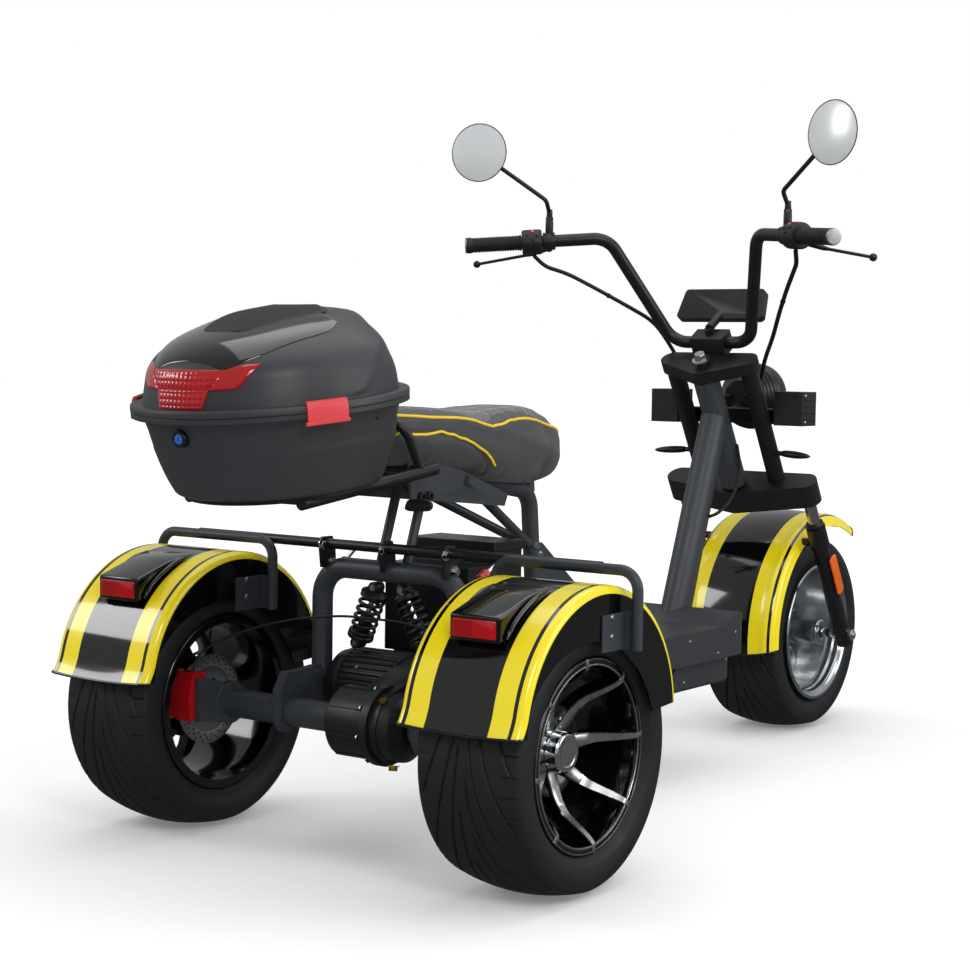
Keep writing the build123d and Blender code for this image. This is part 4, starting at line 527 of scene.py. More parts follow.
def make_tyre(name, body, x, axle, half, replaces):
    """Tyre whose radius drops into grooves: 14 lines to a side, across = 8 + 84 t^1.8 over 330 mm of
    tread, and short slots."""
    line = tyre_profile(half)
    section = np.vstack([line[::-1] * [-1, 1], line[1:]])
    steps = np.array([0, 0.8, 1.7, 5, 9, 13, 17, 21, 25, 29, 32.5, 34, 34.9])
    slots, line_length = 42, 330
    pitch = 2 * np.pi * TREAD_RADIUS / slots
    run = (np.arange(slots)[:, None] * pitch + steps / 35.7 * pitch).ravel()
    across = np.abs(section[:, 0])[None, :]
    run_here = run[:, None] + np.where(section[:, 0] < 0, 1.5 * pitch, 0)[None, :]
    cut = np.zeros((len(run), len(section)))
    for turn in range(4):
        t = (run_here % (3 * pitch) + turn * 3 * pitch) / line_length
        middle = 8 + 84 * np.clip(t, 0, 1) ** 1.8
        slope = 84 * 1.8 * np.clip(t, 0, 1) ** 0.8 / line_length
        apart = np.abs(across - middle) / np.sqrt(1 + slope**2)
        open_end = np.clip(np.minimum(t, 1 - t) * 14, 0, 1)
        cut = np.maximum(cut, 3.6 * open_end * np.clip((2.4 - apart) / 1.1, 0, 1))
    slot = np.minimum(run_here % pitch, pitch - run_here % pitch)
    cut = np.maximum(cut, 2.2 * np.clip((1.3 - slot) / 0.7, 0, 1) * (across > 70) * (across < 97))
    radius = section[None, :, 1] - np.where(section[None, :, 1] > 212, cut, 0)
    angle = run[:, None] / TREAD_RADIUS
    points = np.stack([
        x / MM + section[None, :, 0] + 0 * radius, axle[1] / MM + radius * np.cos(angle),
        axle[2] / MM + radius * np.sin(angle),
    ], -1)
    vertices, faces = skin(points * MM, wrap_rows=True, wrap_columns=True)
    return piece(name, body, [(RUBBER, (vertices, faces))], [replaces], smooth=42)


for side, sign in SIDES.items():
    make_tyre(f"tread_{side}", f"rear_wheel_{side}", sign * WHEEL_X, REAR_AXLE, 103.5, f"rear_tyre_{side}")
make_tyre("tread_front", "front_wheel", 0, FRONT_AXLE, 101, "front_tyre")


# ---------------------------------------------------------------- rear rims
def wheel_point(sign, axle, depth, radius, turn, middle=None):
    """A point of a wheel from its depth outboard, its radius and its turn up from straight ahead, in
    millimetres and degrees."""
    depth, radius, turn = np.broadcast_arrays(
        np.asarray(depth, float), np.asarray(radius, float), np.radians(turn),
    )
    x = WHEEL_X if middle is None else middle
    return np.stack([
        sign * (x + depth * MM), axle[1] + radius * MM * np.cos(turn), axle[2] + radius * MM * np.sin(turn),
    ], -1)


def spoke(sign, turn):
    """One dished spoke: its cut face and its black flanks, swept from the hub to the lip."""
    depth, radius = curve([
        (13, 37), (17, 52), (23, 75), (36, 101), (52, 115), (69, 127), (84, 139), (91.3, 148), (91.9, 158),
    ], 40).T
    face = np.interp(radius, [37, 75, 101, 127, 148, 158], [25, 20.5, 15, 11.5, 8.6, 8.0])
    deep = np.interp(radius, [37, 75, 127, 148, 158], [20, 24, 22, 13, 2.0])
    slope = np.arctan2(np.gradient(radius), np.gradient(depth))
    rings = []
    for across, down in ((-0.5, 0), (0.5, 0), (0.58, 1.6), (0.62, 1e3), (-0.62, 1e3), (-0.58, 1.6)):
        drop = np.minimum(down, deep)
        side = across * face + np.sign(across) * (0.8 if down else 0)
        d = depth - drop * np.sin(slope)
        r = radius + drop * np.cos(slope)
        rings.append(wheel_point(sign, REAR_AXLE, d, r, turn + np.degrees(side / r)))
    points = np.stack(rings, 1)
    rows = len(points)
    grid = points.reshape(-1, 3)
    faces = quads(rows, 6)
    column = np.tile(np.arange(6), rows - 1)
    ends = [list(range(6)), list(range(6 * rows - 6, 6 * rows))]
    return (grid, faces[column == 0].tolist()), (grid, faces[column != 0].tolist() + ends)


def make_rear_rim(side, sign):
    """Black eight-spoke rim with cut faces and lip, its hub, two ringed recesses, a valve and a bright
    cap."""
    centre = REAR_AXLE + [sign * WHEEL_X, 0, 0]
    axis = (sign, 0, 0)
    barrel = softened([
        (-91, 148), (-91.5, 163), (-88, 166), (-84.5, 163), (-84, 154), (-60, 151), (-40, 151), (84, 153),
        (85.5, 154), (85.5, 162.5), (88.5, 165.8), (91.4, 164), (91.4, 154), (88, 150.5), (80, 148.6),
        (60, 147.6), (30, 146), (-60, 146), (-91, 148),
    ], 1.2, 3)
    hub = softened([
        (-44, 30), (-44, 44), (-30, 50), (-12, 64), (4, 74), (12, 78), (19, 77), (16, 66), (10, 52),
        (8.6, 44), (8.2, 30), (-44, 30),
    ], 1.5, 3)
    lip = [(91.0, 150.6), (91.7, 151.2), (91.9, 152.4), (91.6, 153.4), (91.0, 153.6)]
    groove = [(90.9, 160.6), (91.6, 161.0), (91.6, 162.2), (90.9, 162.6)]
    black = [lathe(barrel, centre, axis, 128), lathe(hub, centre, axis, 72)]
    cut = [lathe(lip, centre, axis, 128), lathe(groove, centre, axis, 128)]
    for turn in FIRST_SPOKE + 45 * np.arange(8):
        face, flank = spoke(sign, turn)
        cut.append(face)
        black.append(flank)
        # a short bright tick where the spoke crosses the lip
        corner = wheel_point(sign, REAR_AXLE, 91.2, 159, turn)
        t = np.radians(turn)
        round_about, outward = np.array([0, -np.sin(t), np.cos(t)]), np.array([0, np.cos(t), np.sin(t)])
        cut.append(
            set_plate([(-4, -7), (4, -7), (4, 5), (-4, 5)], 1.2, 0.3, corner, round_about, outward, axis)
        )
    rings, bowls = [], []
    for turn in (51, 231):
        place = wheel_point(sign, REAR_AXLE, 10, 57, turn)
        rings.append(lathe([
            (-4, 14.6), (5, 14.6), (6.5, 13.2), (5.5, 11.4), (-2, 10.8), (-4, 10.8), (-4, 14.6),
        ], place, axis, 40))
        bowls.append(lathe([
            (0.4, 11), (0.4, 5.4), (3.2, 5), (3.8, 3.6), (1.6, 2.4), (1.6, 0),
        ], place, axis, 24))
    valve = wheel_point(sign, REAR_AXLE, 84, 146, 28)
    stem = lathe([
        (0, 0), (0, 4), (4, 4), (6, 3), (24, 2.8), (24, 3.6), (33, 3.6), (34.5, 2.6), (34.5, 0),
    ], valve, (sign * 0.5, -0.75, -0.43), 20)
    piece(f"rim_{side}", f"rear_wheel_{side}", [
        (BLACK_ENAMEL, joined(*black, *bowls)), (CUT_ALLOY, joined(*cut)), (CHROME, joined(*rings)),
        (RUBBER, stem),
    ], [f"rear_rim_{side}"], smooth=34)
    cap = softened([
        (7.5, 0), (7.5, 33.6), (9, 35.6), (22, 35.8), (24, 34.6), (26, 35.4), (43.5, 35.4), (47, 32.4),
        (47.9, 30.5), (47.9, 24), (46.9, 22.5), (46.9, 6), (46.9, 0),
    ], 0.9, 3)
    piece(
        f"cap_{side}", f"rear_wheel_{side}", [(CHROME, lathe(cap, centre, axis, 72))],
        [f"hub_cap_{side}"], smooth=30,
    )


for side, sign in SIDES.items():
    make_rear_rim(side, sign)


# ---------------------------------------------------------------- front rim
def make_front_rim():
    """Deep barrel in steps, a long hub with flanges, and 36 crossed spokes with their nipples."""
    centre = FRONT_AXLE
    barrel = softened([
        (-103, 148), (-103, 163), (-100, 166), (-96, 163), (-96, 154), (96, 154), (96.5, 162.5),
        (100, 165.8), (103, 163.5), (103, 157), (99, 152.5), (93, 150), (90, 147), (78, 146.5), (74, 143),
        (60, 142.5), (56, 145.5), (30, 145.5), (-60, 145.5), (-90, 147), (-103, 148),
    ], 1.4, 3)
    hub = softened([
        (-110, 16), (-110, 24), (-64, 24), (-60, 62), (-52, 62), (-48, 30), (40, 26), (96, 26), (98, 24),
        (98, 31), (108, 31), (111, 28), (111, 16), (-110, 16),
    ], 1.2, 3)
    parts = [lathe(barrel, centre, (1, 0, 0), 128), lathe(hub, centre, (1, 0, 0), 56)]
    for number in range(36):
        turn = 10 * number
        lean = 22 if number % 2 else -22
        low = wheel_point(1, FRONT_AXLE, -52 if number % 2 else -60, 58, turn, 0)
        high = wheel_point(1, FRONT_AXLE, -34, 146.5, turn + lean, 0)
        parts.append(pipe(np.linspace(low, high, 4), 2.1 * MM, 8, (1, 0.01, 0)))
        parts.append(pipe(np.linspace(high + (low - high) * 0.14, high, 3), 3.3 * MM, 8, (1, 0.01, 0)))
    piece(
        "rim_front", "front_wheel", [(POLISHED_ALLOY, joined(*parts))], ["front_rim"],
        smooth=34,
    )


make_front_rim()


# ---------------------------------------------------------------- fenders
def banded(points, bands):
    """A grid split into parts by bands: (material, mask over its columns of faces); ends are closed in
    the first material."""
    rows, columns = points.shape[:2]
    grid = points.reshape(-1, 3)
    faces = quads(rows, columns)
    column = np.tile(np.arange(columns), rows - 1)
    parts = []
    for material, mask in bands:
        chosen = faces[mask[column]].tolist()
        if not parts:
            chosen += ribbon_ends(rows, columns)
        parts.append((material, (grid, chosen)))
    return parts


def ribbon_ends(rows, columns):
    """Faces that close both ends of a shell whose columns run out along one wall and back along the other."""
    half = columns // 2
    near = np.arange(half - 1)
    ends = []
    for start in (0, (rows - 1) * columns):
        ends.append(start + np.stack([near, near + 1, columns - 2 - near, columns - 1 - near], 1))
    return np.vstack(ends).tolist()


def shell_rings(outer, thickness, normals):
    """Outer line and, behind it, the inner line: one closed ring for each row."""
    return np.concatenate([outer, (outer - thickness * normals)[:, ::-1]], axis=1)


def band_masks(across, edges):
    """For a closed ring of columns: which of them lie in yellow bands, by their distance from the middle."""
    middle = np.abs((across + np.roll(across, -1)) / 2)
    yellow = np.zeros(len(across), bool)
    for low, high in edges:
        yellow |= (middle > low) & (middle < high)
    return yellow


FENDER_THICKNESS = 3.4


def fender_shell(outer, centre):
    """A fender's outer surface and, behind it, its inner one; outwards is away from the centre."""
    normals = np.cross(np.gradient(outer, axis=1), np.gradient(outer, axis=0))
    normals /= np.maximum(np.linalg.norm(normals, axis=2, keepdims=True), 1e-9)
    normals *= np.sign(np.sum(normals * (outer - centre), axis=2, keepdims=True))
    return shell_rings(outer, FENDER_THICKNESS, normals) * MM


def make_rear_fender(side, sign):
    """Rear fender: flat roof, rolled shoulders and walls cut round over the wheel, with a flared rear
    edge and a lamp housing."""
    roof_radius, half_width, shoulder_start, shoulder_radius = 240, 121.0, 107.2, 13.8
    turn = np.radians(np.linspace(4.54, 175.46, 150))
    roof = np.concatenate([[0, 20, 40, 55, 61.8, 62.2, 80, 99.8, 100.2, 103.5, 106.8, shoulder_start]])
    roll = np.radians(np.linspace(0, 90, 9))
    shoulder = shoulder_radius * np.stack([np.sin(roll), 1 - np.cos(roll)], 1)[1:] + [shoulder_start, 0]
    side_steps = np.linspace(0, 1, 10)[1:]
    # the wall stops at a circle over the wheel
    out = np.stack([np.cos(turn), np.sin(turn)], 1)
    cut = np.array([-45.0, -64.0])
    along_cut = out @ cut
    reach = along_cut + np.sqrt(along_cut**2 - cut @ cut + 215.0**2)
    depth = np.clip(roof_radius - reach, 16, 120)
    half_across = np.concatenate([roof, shoulder[:, 0], np.full(len(side_steps), half_width)])
    half_drop = np.concatenate([roof * 0, shoulder[:, 1], side_steps])
    rows = len(turn)
    on_wall = np.arange(len(half_across)) >= len(roof) + len(shoulder)
    wall_drop = shoulder_radius + half_drop[None, :] * (depth[:, None] - shoulder_radius)
    drop = np.where(on_wall, wall_drop, half_drop[None, :])
    flare = np.clip((np.degrees(turn) - 166.5) / 9, 0, 1) ** 2 * 11
    # the roof's rear edge bows down a little in its middle
    fall = np.clip((np.degrees(turn) - 171) / 4.5, 0, 1)
    across = np.concatenate([-half_across[:0:-1], half_across])
    drop = np.concatenate([drop[:, :0:-1], drop], 1)
    radius = roof_radius - drop + flare[:, None] * (drop < 15)
    theta = turn[:, None] + np.radians(1.1) * fall[:, None] * (1 - (across[None, :] / half_width) ** 2)
    middle = sign * (WHEEL_X / MM - 5)
    centre = REAR_AXLE / MM + [0, 0, 45.5]
    outer = np.stack([
        middle + across + 0 * radius, centre[1] + radius * np.cos(theta),
        centre[2] + radius * np.sin(theta),
    ], -1)
    points = fender_shell(outer, [middle, centre[1], centre[2]])
    ring = np.concatenate([across, across[::-1]])
    ring_drop = np.concatenate([drop[rows // 2], drop[rows // 2][::-1]])
    yellow = band_masks(ring, [(62, 100), (107, 122)]) & ((ring_drop + np.roll(ring_drop, -1)) / 2 < 14.2)
    parts = banded(points, [(BLACK_LACQUER, ~yellow), (YELLOW_LACQUER, yellow)])
    # round edge bead along the rear
    edge = outer[-1] * MM
    parts.append((BLACK_LACQUER, pipe(edge[9:-9], 2.6 * MM, 10)))
    # lamp housing: a wedge that grows out of the roof, with a raised crease to each side
    housing = rounded([
        (-198, 440.5), (-198, 483.5), (-99, 516), (-40, 519.5), (-40, 480), (-99, 441),
    ], [5, 4, 30, 4, 4, 4], 5)
    x, y = sign * TAIL_LAMP_X - 49.5, REAR_AXLE[1] / MM
    parts.append((BLACK_LACQUER, mm_plate(housing, (x, y, 0), (0, 1, 0), (0, 0, 1), 99, 4.5)))
    for reach_x in (-55, 55):
        crest = [(-186, 448), (-168, 470), (-140, 490), (-104, 508), (-66, 519)]
        line = curve([(sign * TAIL_LAMP_X + reach_x, y + f, z) for f, z in crest], 24) * MM
        thick = np.interp(np.linspace(0, 1, 24), [0, 0.1, 0.8, 1], [2, 4.2, 4.2, 1]) * MM
        parts.append((BLACK_LACQUER, pipe(line, thick, 10)))
    piece(f"fender_shell_{side}", "chassis", parts, [f"rear_fender_{side}"], smooth=38)


def mm_plate(outline, origin, right, up, thickness, edge=0.0):
    """The same as plate, in millimetres."""
    points, faces = plate(outline, origin, right, up, thickness, edge)
    return points * MM, faces


for side, sign in SIDES.items():
    make_rear_fender(side, sign)


def make_tail_lenses():
    """Red lens of each tail lamp in its frame, with a field of small prisms on one half."""
    parts_clear, prism_painted_shade, frames = [], [], []
    y = REAR_AXLE[1] / MM
    for sign in SIDES.values():
        x = sign * TAIL_LAMP_X
        outline = rounded([(-43, -15), (43, -15), (43, 15), (-43, 15)], 3, 4)
        parts_clear.append(mm_plate(outline, (x, y - 193.5, 462), (1, 0, 0), (0, 0, 1), 8.2, 2.2))
        # the prisms are painted darker red: painted shade seen through the lens
        for row in range(9):
            for column in range(11):
                centre = (x - 37.2 + column * 3.4, y - 201.2, 450.4 + row * 2.9)
                prism_painted_shade.append(prism(centre, 1.6, 1.4, 1.2))
        outline = rounded([(-46, -18), (46, -18), (46, 18), (-46, 18)], 4, 4)
        frames.append(mm_plate(outline, (x, y - 193, 462), (1, 0, 0), (0, 0, 1), 4.4, 1.2))
    piece("tail_lenses", "chassis", [
        (RED_LENS, joined(*parts_clear)), (SHADED_PRISM_RED, joined(*prism_painted_shade)), (BLACK_ABS, joined(*frames)),
    ], ["tail_lamps"], smooth=30)


def prism(centre, half_x, half_z, height):
    """A small four-sided pyramid that points to the rear, in millimetres."""
    x, y, z = centre
    points = [
        (x - half_x, y, z - half_z), (x + half_x, y, z - half_z), (x + half_x, y, z + half_z),
        (x - half_x, y, z + half_z), (x, y - height, z),
    ]
    return np.array(points) * MM, [[0, 1, 4], [1, 2, 4], [2, 3, 4], [3, 0, 4], [3, 2, 1, 0]]


make_tail_lenses()


def make_front_fender():
    """Front fender: flat crown and sides rolled down, from ahead of the wheel's top to behind the wheel."""
    roof_radius, roof_half, shoulder_radius = 293, 95, 30
    turn = np.radians(np.linspace(58.3, 186.7, 120))
    roof = np.array([0, 25, 50, 61.8, 62.2, 80, roof_half])
    roll = np.radians(np.linspace(0, 78, 12))
    shoulder = np.stack([np.sin(roll), (1 - np.cos(roll)) * 0.72], 1)[1:] * shoulder_radius + [roof_half, 0]
    wall = np.stack([np.linspace(shoulder[-1, 0], 127.6, 6), np.linspace(shoulder[-1, 1], 32.5, 6)], 1)[1:]
    half = np.vstack([
        np.stack([roof, 0.0006 * roof**2], 1), shoulder + [0, 0.0006 * roof_half**2 * 0.6], wall,
    ])
    across = np.concatenate([-half[:0:-1, 0], half[:, 0]])
    drop = np.concatenate([half[:0:-1, 1], half[:, 1]])
    radius = roof_radius - drop[None, :] + 0 * turn[:, None]
    # each end is cut in a shallow bow
    lean = np.radians(3.2) * (across / 127) ** 2
    theta = turn[:, None] + np.clip(
        (turn[:, None] - turn[0]) / (turn[-1] - turn[0]) * 2 - 1, -1, 1,
    ) * -lean[None, :]
    outer = np.stack([
        across + 0 * radius, FRONT_AXLE[1] / MM + radius * np.cos(theta),
        FRONT_AXLE[2] / MM + radius * np.sin(theta),
    ], -1)
    points = fender_shell(outer, FRONT_AXLE / MM)
    ring = np.concatenate([across, across[::-1]])
    yellow = band_masks(ring, [(62, 108), (114, 128)])
    parts = banded(points, [(BLACK_LACQUER, ~yellow), (YELLOW_LACQUER, yellow)])
    for end in (0, -1):
        parts.append((BLACK_LACQUER, pipe(outer[end] * MM, 2.2 * MM, 10)))
    for sign in SIDES.values():
        up = fork_point(0, 270)
        parts.append(
            (
                BLACK_COAT,
                pipe(
                    np.linspace([sign * 0.124, up[1], up[2]], [sign * 0.1415, up[1], up[2]], 3), 9 * MM, 24,
                ),
            )
        )
        parts.append((CHROME, screw((sign * 0.122, up[1], up[2]), (-sign, 0, 0), 6 * MM, 4 * MM)))
    piece("fender_shell_front", "steering", parts, ["front_fender"], smooth=38)


LEAN = np.radians(31.0)
FORK_UP = np.array([0, -np.sin(LEAN), np.cos(LEAN)])
FORK_AHEAD = np.array([0, np.cos(LEAN), np.sin(LEAN)])


def fork_point(x, up, ahead=0.0):
    """A point along the fork, from the front axle, given in millimetres."""
    return np.array([x * MM, 0, 0]) + FRONT_AXLE + FORK_UP * up * MM + FORK_AHEAD * ahead * MM


make_front_fender()


# ---------------------------------------------------------------- top box
# half width of the box's plan, its reach behind and ahead of the widest line, and the power of its front
# curve
PLAN_HALF, PLAN_REAR, PLAN_FRONT, PLAN_POWER = 229.0, 255.0, 187.0, 2.3
# the hinge line in the box's frame: forward and up
HINGE = (195, -2)
HINGE_MIDDLES = (-60, 60)
CASE_LEAN = np.radians(7.0)
CASE_ORIGIN = REAR_AXLE + np.array([0, -0.22144, 0.818 - REAR_AXLE[2]])
CASE_AHEAD = np.array([0, np.cos(CASE_LEAN), np.sin(CASE_LEAN)])
CASE_UP = np.array([0, -np.sin(CASE_LEAN), np.cos(CASE_LEAN)])
# (height, plan in proportion to the rim, forward shift) in millimetres
LID_LEVELS = np.array([
    (0.3, 0.933, 0), (43, 0.905, 3), (71, 0.866, 2), (95, 0.794, 10), (115.4, 0.672, 23),
    (137.6, 0.467, 54), (148, 0.2, 60),
])
BASE_LEVELS = np.array([(-145, 0.745, 2), (-109, 0.815, 2), (-59, 0.885, 3), (0, 0.933, 0)])


def case_point(x, y, z):
    """Points of the top box's own frame, in millimetres, as metres in the machine's."""
    x, y, z = np.broadcast_arrays(np.asarray(x, float), y, z)
    local = np.stack([x, y, z], -1) * MM
    return CASE_ORIGIN + local[..., :1] * [1, 0, 0] + local[..., 1:2] * CASE_AHEAD + local[..., 2:] * CASE_UP


def egg(turn, grow=0.0, scale=1.0):
    """Plan of the box: an ellipse behind its widest line and a curve of power 2.3 ahead of it."""
    ahead = np.sin(turn) > 0
    power = np.where(ahead, 2 / PLAN_POWER, 1.0)
    reach = np.where(ahead, PLAN_FRONT, PLAN_REAR) * scale + grow
    x = (PLAN_HALF * scale + grow) * np.sign(np.cos(turn)) * np.abs(np.cos(turn)) ** power
    return x, reach * np.sign(np.sin(turn)) * np.abs(np.sin(turn)) ** power


def level(levels, z):
    """Proportion and shift at a height, along a smooth line through the levels."""
    fine = curve(levels, 160)
    return np.interp(z, fine[:, 0], fine[:, 1]), np.interp(z, fine[:, 0], fine[:, 2])


def loft(levels, heights, grow=0.0, steps=144):
    """Rings of the egg plan at a row of heights."""
    turn = np.linspace(0, 2 * np.pi, steps, endpoint=False)[None, :]
    scale, shift = level(levels, heights)
    x, y = egg(turn, grow, scale[:, None])
    return case_point(x, y + shift[:, None], heights[:, None] + 0 * x)


def make_top_box():
    """Base with its flange, plinth, lock, hinge knuckles and pins, and a socket on each side."""
    heights = np.concatenate([np.linspace(-145, -139, 4), np.linspace(-134, -12, 22), [-9]])
    grow = np.concatenate([[-7, -2.6, -0.7, 0], np.zeros(23)])
    turn = np.linspace(0, 2 * np.pi, 144, endpoint=False)[None, :]
    scale, shift = level(BASE_LEVELS, heights)
    # a long shallow recess along each side, and a raised field around the lock
    x, y = egg(turn, grow[:, None], scale[:, None])
    side = np.clip((np.cos(turn) ** 2 - 0.30) / 0.12, 0, 1) * (np.sin(turn) < 0.75)
    low = np.clip((heights[:, None] + 62) / 5, 0, 1) * np.clip((-22 - heights[:, None]) / 5, 0, 1)
    sunk = 2.2 * side * low
    back = np.clip((np.abs(turn - 1.5 * np.pi) < 0.42), 0, 1) * np.clip((heights[:, None] + 84) / 4, 0, 1)
    bulge = 2.4 * back
    swell = 1 - sunk / PLAN_HALF + bulge / PLAN_HALF
    x, y = x * swell, y * swell
    outer = case_point(x, y + shift[:, None], heights[:, None] + 0 * x)
    inner_heights = np.linspace(-9, -141.8, 16)
    inner = loft(BASE_LEVELS, inner_heights, -3.2)
    parts = [(GRAINED_BOX, skin(np.concatenate([outer, inner])))]
    ring = np.array([
        (-4, -9), (0.6, -9), (1.4, -8.2), (1.4, -1.4), (0.4, -0.3), (-4, -0.3), (-19, -0.3), (-19, -9),
    ])
    parts.append((GRAINED_BOX, rim_ring(ring)))
    # plinth under the base
    x, y = egg(turn, -4, 0.71)
    plinth = np.stack([case_point(x, y + 2, z + 0 * x)[0] for z in (-145, -150.5, -152.5)])
    plinth[2] = plinth[2] * 0.985 + 0.015 * plinth[2].mean(0)
    # lock: black barrel with a blue face and a keyway
    out = -CASE_AHEAD
    lock = case_point(0, -237, -34)
    barrel = softened([(-12, 0), (-12, 14.5), (2, 14.5), (4.4, 13.2), (4.4, 9.6), (2.8, 9), (2.8, 0)], 0.8, 3)
    parts.append((BLACK_ABS, lathe(barrel, lock, out, 40)))
    parts.append((BLUE_PLASTIC, lathe([
        (2.6, 0), (2.6, 8.4), (3.6, 8.2), (3.9, 7.4), (3.9, 0),
    ], lock, out, 32)))
    # painted shade: the keyway is a thin dark plate on the blue face, standing for the slot
    keyway_shade_plate = [(-0.8, -3.4), (0.8, -3.4), (0.8, 3.4), (-0.8, 3.4)]
    parts.append((BLACK_ABS, set_plate(keyway_shade_plate, 0.7, 0.0, lock + out * 3.6 * MM, [1, 0, 0], CASE_UP, out)))
    # hinge knuckles and pin
    for middle in HINGE_MIDDLES:
        for low_x in (middle - 22, middle + 8):
            parts.append(
                (BLACK_ABS, lathe([
                    (0, 0), (0, 5.4), (0.8, 6), (13.2, 6), (14, 5.4), (14, 0),
                ], case_point(low_x, *HINGE), (1, 0, 0), 24))
            )
            parts.append(
                (BLACK_ABS, case_plate([(170, -8), (195, -8), (195, -1), (170, -1)], low_x, low_x + 14))
            )
        parts.append(
            (
                CHROME,
                lathe(
                    [(-1, 0), (-1, 2.4), (45, 2.4), (45, 0)], case_point(middle - 22, *HINGE), (1, 0, 0),
                    16,
                ),
            )
        )
    # dark square socket on each side, under the flange
    for sign in SIDES.values():
        parts.append(
            (RUBBER, lathe([
                (-3, 0), (-3, 6.4), (1.2, 6.4), (1.2, 5.2), (-0.6, 5), (-0.6, 0),
            ], case_point(sign * 207.5, 8, -24), (sign, 0.06, 0), 4))
        )
    parts.append((BLACK_ABS, skin(plinth)))
    piece("box_base", "chassis", parts, ["top_box"], smooth=34)


def rim_ring(section):
    """A section of (out, height) points carried round the rim."""
    turn = np.linspace(0, 2 * np.pi, 192, endpoint=False)[None, :]
    section = np.asarray(section, float)
    x, y = egg(turn, section[:, :1])
    return skin(case_point(x, y, section[:, 1:]), wrap_rows=True, caps=False)


def case_plate(outline, low_x, high_x):
    """A flat outline of (forward, up) points of the box's frame, given thickness across the machine."""
    points, faces = plate(outline, (0, 0, 0), (1, 0, 0), (0, 1, 0), high_x - low_x, 0.6)
    return case_point(low_x + points[:, 2], points[:, 0], points[:, 1]), faces


def crest(turn, z, along_turn, along_z, wide, high):
    """Height of a soft ridge that runs along a line of (turn, height) pairs, both sides of the machine."""
    from_line = np.interp(z, along_z, along_turn)
    mirrored_turn = np.abs(np.angle(np.exp(1j * (turn - np.pi / 2))))
    apart = (mirrored_turn - from_line) / wide
    inside = np.clip((z - along_z[0]) / 10, 0, 1) * np.clip((along_z[-1] - z) / 10, 0, 1)
    return high * np.exp(-apart**2) * inside


def make_lid():
    """Lid: outer skin with a shoulder ridge on each side, rolled flange, inner skin and hinge lugs."""
    heights = np.concatenate([[12], np.linspace(14, 140, 44), [143.5, 146, 147.5, 148]])
    turn = np.linspace(0, 2 * np.pi, 192, endpoint=False)[None, :]
    scale, shift = level(LID_LEVELS, heights)
    z = heights[:, None]
    ridge = crest(turn, z, [1.78, 1.50, 1.20], [14, 66, 100], 0.10, 3.0)
    x, y = egg(turn, 0, scale[:, None])
    grown = 1 + ridge / PLAN_HALF
    outer = case_point(x * grown, y * grown + shift[:, None], z + 0 * x)
    inner = loft(LID_LEVELS, np.concatenate([np.linspace(137, 12, 16), [0.4]]), -3.4, 192)
    parts = [
        (GRAINED_BOX, skin(np.concatenate([loft(LID_LEVELS, np.array([0.4, 6.0]), 0, 192), outer])[::-1])),
        (GRAINED_BOX, skin(inner, caps=False)),
    ]
    ring = np.array([
        (-19, 0.3), (0.8, 0.3), (1.8, 1.2), (1.8, 9.4), (0.9, 11.2), (-1.4, 12.2), (-9, 12.4), (-19, 12.4),
    ])
    parts.append((GRAINED_BOX, rim_ring(ring)))
    for middle in HINGE_MIDDLES:
        parts.append(
            (BLACK_ABS, lathe([
                (-7, 0), (-7, 5.4), (-6.2, 6), (6.2, 6), (7, 5.4), (7, 0),
            ], case_point(middle, *HINGE), (1, 0, 0), 24))
        )
        parts.append(
            (BLACK_ABS, case_plate([(180, 0.4), (195, 0.4), (195, 4), (180, 4)], middle - 7, middle + 7))
        )
    piece("lid_shell", "box_lid", parts, ["top_box_lid"], smooth=40)


def between(low, high, columns, rows):
    """A grid of points between smooth lines through two rows of points."""
    low, high = curve(low, columns), curve(high, columns)
    t = np.linspace(0, 1, rows)[:, None, None]
    return low[None] * (1 - t) + high[None] * t


def on_lid_rear(x, z, grow):
    """The lid's rear surface at a place across the machine and a height."""
    scale, shift = level(LID_LEVELS, z)
    half = PLAN_HALF * scale + grow
    reach = PLAN_REAR * scale + grow
    y = -reach * np.sqrt(np.clip(1 - (x / half) ** 2, 0, 1)) + shift
    return case_point(x, y, z)


def slab(points_out, points_in):
    """A closed slab between an outer and an inner grid of the same size."""
    rows, columns = points_out.shape[:2]
    grid = np.vstack([points_out.reshape(-1, 3), points_in.reshape(-1, 3)])
    top = quads(rows, columns, False, False)
    count = rows * columns
    ring = np.concatenate([
        np.arange(columns), np.arange(1, rows) * columns + columns - 1,
        (rows - 1) * columns + np.arange(columns - 2, -1, -1), np.arange(rows - 2, 0, -1) * columns,
    ])
    after = np.roll(ring, -1)
    rim = np.stack([ring, after, after + count, ring + count], 1)
    return grid, np.vstack([top, top[:, ::-1] + count, rim]).tolist()


